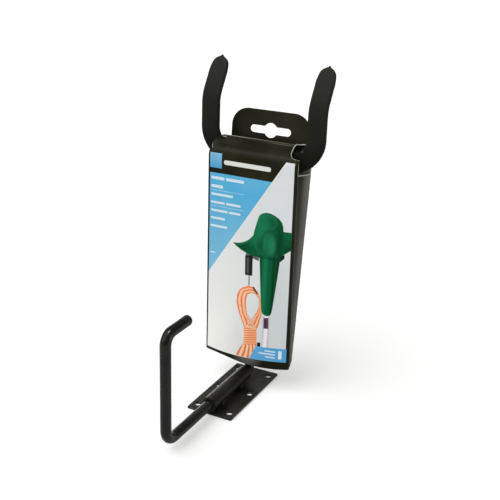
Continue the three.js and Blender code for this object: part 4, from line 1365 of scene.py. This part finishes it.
def card_sleeve():
    verts, faces = sleeve_solid(inset=0.0, fold=FOLD_RADIUS, below=0.0)
    sleeve = solid("sleeve_outer", verts, faces, [PRINT, CORE], [0] * (len(faces) - 1) + [1])
    hollow = sleeve_solid(inset=BOARD, fold=0.0, below=8.0)
    combine(sleeve, solid("sleeve_hollow", *hollow, [INSIDE]), "DIFFERENCE")
    combine(sleeve, solid("sleeve_tab", *tab_solid()), "UNION")
    combine(sleeve, side_cutter(1, back_y=87.6), "DIFFERENCE")
    combine(sleeve, side_cutter(-1, back_y=80.4), "DIFFERENCE")
    combine(sleeve, roof_cutter(rounded_plan(RIGHT_OPENING), rim=0.62), "DIFFERENCE")
    left_plan = [(-x, y) for x, y in rounded_plan(LEFT_OPENING)][::-1]
    combine(sleeve, roof_cutter(left_plan, rim=0.24), "DIFFERENCE")
    sleeve.name = "sleeve_board"
    sleeve.data.name = "sleeve_board"

    bm = bmesh.new()
    bm.from_mesh(sleeve.data)
    bmesh.ops.remove_doubles(bm, verts=bm.verts, dist=5e-4)
    bmesh.ops.dissolve_degenerate(bm, edges=bm.edges, dist=1e-4)
    for vert in bm.verts:
        x, y, z = vert.co
        vert.co += card_warp(x, y - ORIGIN_Y_MM, z - ORIGIN_Z_MM)
    bmesh.ops.scale(bm, vec=(MM, MM, MM), verts=bm.verts)
    bm.to_mesh(sleeve.data)
    bm.free()
    shade_smooth(sleeve.data, 38)
    normals = sleeve.modifiers.new("normals", "WEIGHTED_NORMAL")
    normals.keep_sharp = True
    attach(sleeve, "swivel_arm")
    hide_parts("card_sleeve")


card_sleeve()

# ------------------------------------------------------------------ screw pouch
POUCH_SIDES = 128
POUCH_ROUND = 0.9                              # radius at the foot
SEAL_HALF_DEPTH, CRIMP_PITCH = 0.36, 0.5
FILM_THICK = 0.09


def pouch():
    """Film pillow round the six screws, crimped shut at the top; row-frame millimetres."""
    low, high = (np.array(corner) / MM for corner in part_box("screw_pouch"))
    screws_top = max(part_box(f"mounting_screw_{k}")[1].z for k in range(1, 7)) / MM
    centre = (low + high) / 2
    half_width, half_depth = (high - low)[:2] / 2 - 0.03
    outline = []                               # x, y as shares of the half sizes
    for angle in sweep(0, 2 * math.pi, POUCH_SIDES)[:-1]:
        cosine, sine = math.cos(angle), math.sin(angle)
        radius = (abs(cosine / half_width) ** 4 + abs(sine / half_depth) ** 4) ** -0.25
        outline.append((radius * cosine / half_width, radius * sine / half_depth))
    # stations: z, inset, pinch from 0 (full) to 1 (sealed)
    foot, top = low[2], high[2]
    stations = [(foot + 0.06 + POUCH_ROUND * (1 - cosine), POUCH_ROUND * (1 - sine), 0.0)
                for sine, cosine in quarter_turn(6)]
    stations += [(z, 0.0, 0.0) for z in np.linspace(foot + 1.6, screws_top + 0.2, 34)]
    stations += [(lerp(screws_top + 0.2, top - 2.6, pinch), 0.0, pinch)
                 for pinch in np.linspace(0.1, 1.0, 12)]
    stations += [(z, 0.0, 1.0) for z in np.linspace(top - 2.45, top - 0.08, 19)]
    rings = []
    for z, inset, pinch in stations:
        closing = ease(pinch)
        ring = []
        for across, deep in outline:
            crease = 0.5 + 0.5 * noise.noise(Vector((across * 4.1, deep * 3.3, z * 0.11)))
            fine = 0.5 + 0.5 * noise.noise(Vector((across * 9.0 + 4, deep * 8.0, z * 0.35)))
            pull = (0.20 * crease + 0.08 * fine) * (1 - closing) * min(1.0, (z - foot) / 2.0)
            shrink = 1.0 - pull / 11.0
            x = across * (half_width - inset) * shrink
            y = deep * (half_depth - inset) * shrink
            pleat = 0.5 + 0.5 * math.sin(across * 17.0 + 2.0 * deep)
            gather = 1.0 - 0.16 * math.sin(math.pi * pinch) * pleat
            y = y / half_depth * lerp(half_depth, SEAL_HALF_DEPTH, closing) * gather
            if pinch >= 1.0:                   # fine crimps across the seal
                y *= 1.0 + 0.28 * math.sin((z - top) * 2 * math.pi / CRIMP_PITCH)
            y += 0.55 * closing * math.sin(x * 0.33 + 0.8)
            ring.append((centre[0] + x, centre[1] + y, z))
        rings.append(ring)
    return loft(rings)


def give_wall(mesh, thickness):
    """Adds a second skin inside a closed piece, facing inwards."""
    bm = bmesh.new()
    bm.from_mesh(mesh)
    bm.normal_update()
    places = {vert: vert.co - vert.normal * thickness * MM for vert in bm.verts}
    outer_faces = list(bm.faces)
    inner = {vert: bm.verts.new(place) for vert, place in places.items()}
    for face in outer_faces:
        back = bm.faces.new([inner[vert] for vert in reversed(face.verts)])
        back.smooth, back.material_index = True, face.material_index
    bm.to_mesh(mesh)
    bm.free()


bag = piece("pouch_film", pouch(), FILM, "swivel_arm", "screw_pouch", sharp=55,
            origin=(0.0, 0.0, 0.0))
give_wall(bag.data, FILM_THICK)


# ------------------------------------------------------------------ carried-over CAD nodes
def repaint(node, material):
    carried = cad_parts[node]
    if not carried.material_slots:
        carried.data.materials.append(material)
    for slot in carried.material_slots:
        slot.material = material


for node in ("fork_bar", "stem_weld_left", "stem_weld_right"):
    repaint(node, BAR_PAINT)
for k in range(1, 7):
    repaint(f"mounting_screw_{k}", ZINC)


# ------------------------------------------------------------------ floor (metres from here on)
def floor_paper():
    """Near-white paper that glows a little for the camera only."""
    shader = Shader("floor_paper")
    tone = shader.noise(scale=6.0).ramp(over=(0.3, 0.7))
    seen_by_camera = shader.node("LightPath", output="Is Camera Ray")
    return shader.finish(
        Base_Color=shader.blend((0.925, 0.925, 0.92), (tone, (0.935, 0.935, 0.93))),
        Roughness=0.9, Specular_IOR_Level=0.05, Emission_Color=(1.0, 1.0, 0.995),
        Emission_Strength=seen_by_camera * 0.30)


FLOOR_HALF, FLOOR_Z = 14.0, -0.0002
floor_mesh = bpy.data.meshes.new("floor")
floor_mesh.from_pydata([(x * FLOOR_HALF, y * FLOOR_HALF, FLOOR_Z)
                        for x, y in ((-1, -1), (1, -1), (1, 1), (-1, 1))], [], [(0, 1, 2, 3)])
floor_mesh.materials.append(floor_paper())
add_object("floor", floor_mesh)


# ------------------------------------------------------------------ world
def build_world():
    """Soft white dome, dimmer in reflections and plain white to the camera."""
    world = bpy.data.worlds.new("studio")
    bpy.context.scene.world = world
    world.use_nodes = True
    nodes, links = world.node_tree.nodes, world.node_tree.links
    nodes.clear()
    output, rays = nodes.new("ShaderNodeOutputWorld"), nodes.new("ShaderNodeLightPath")

    def background(colour, strength):
        made = nodes.new("ShaderNodeBackground")
        made.inputs[0].default_value, made.inputs[1].default_value = (*colour, 1), strength
        return made

    def switch(ray, otherwise, chosen):
        made = nodes.new("ShaderNodeMixShader")
        sources = rays.outputs[ray], otherwise.outputs[0], chosen.outputs[0]
        for source, socket in zip(sources, made.inputs):
            links.new(source, socket)
        return made

    soft = background((1.0, 0.995, 0.985), strength=0.46)
    dim = background((1.0, 0.975, 0.84), strength=0.22)
    white = background((1, 1, 1), strength=1.0)
    lighting = switch("Is Camera Ray", switch("Is Glossy Ray", soft, dim), white)
    links.new(lighting.outputs[0], output.inputs[0])


build_world()


# ------------------------------------------------------------------ lights
def add_light(name, kind, place, target, energy, **settings):
    light = bpy.data.lights.new(name, kind)
    light.energy = energy
    for setting, value in settings.items():
        setattr(light, setting, value)
    made = add_object(name, light)
    made.location = place
    made.rotation_mode = "QUATERNION"
    made.rotation_quaternion = (Vector(target) - Vector(place)).to_track_quat("-Z", "Y")
    return made


add_light("dome_key", "SUN", place=(-0.62, -0.72, 1.0), target=(0, 0, 0), energy=1.75,
          angle=math.radians(70), specular_factor=0.0)
# Softboxes only make highlights: name, place, target, width, height, power
for name, place, target, width, height, power in [
        ("overhead", (0.10, -0.12, 1.35), (0, -0.08, 0.05), 0.25, 0.25, 14.0),
        ("right", (1.25, 0.22, 0.14), (0, -0.08, 0.05), 0.22, 0.30, 2.4),
        ("rim", (-0.95, 1.15, 0.10), (0, 0, 0.02), 0.7, 0.3, 2.4)]:
    box = add_light(name, "AREA", place, target, power, shape="RECTANGLE", size=width,
                    size_y=height)
    box.visible_camera = False
    box.visible_diffuse = False

# ------------------------------------------------------------------ camera
# The camera's own axes and place, in the row frame
CAMERA_RIGHT = (0.8890894300594679, 0.4568813743990049, 0.02791764824992883)
CAMERA_UP = (-0.1848077948425924, 0.30249849473364765, 0.9350618908122046)
CAMERA_BACK = (0.41876731525030547, -0.836513042582812, 0.35338345358391876)
CAMERA_PLACE = (0.2905175, -0.5595981, 0.3585456)
lens = bpy.data.cameras.new("camera")
lens.lens, lens.sensor_width, lens.clip_start, lens.clip_end = 64.817, 36.0, 0.01, 60.0
camera = add_object("camera", lens)
camera.matrix_world = Matrix(
    [*zip(CAMERA_RIGHT, CAMERA_UP, CAMERA_BACK, CAMERA_PLACE), (0, 0, 0, 1)])
bpy.context.scene.camera = camera
bpy.context.scene.view_settings.view_transform = "Standard"
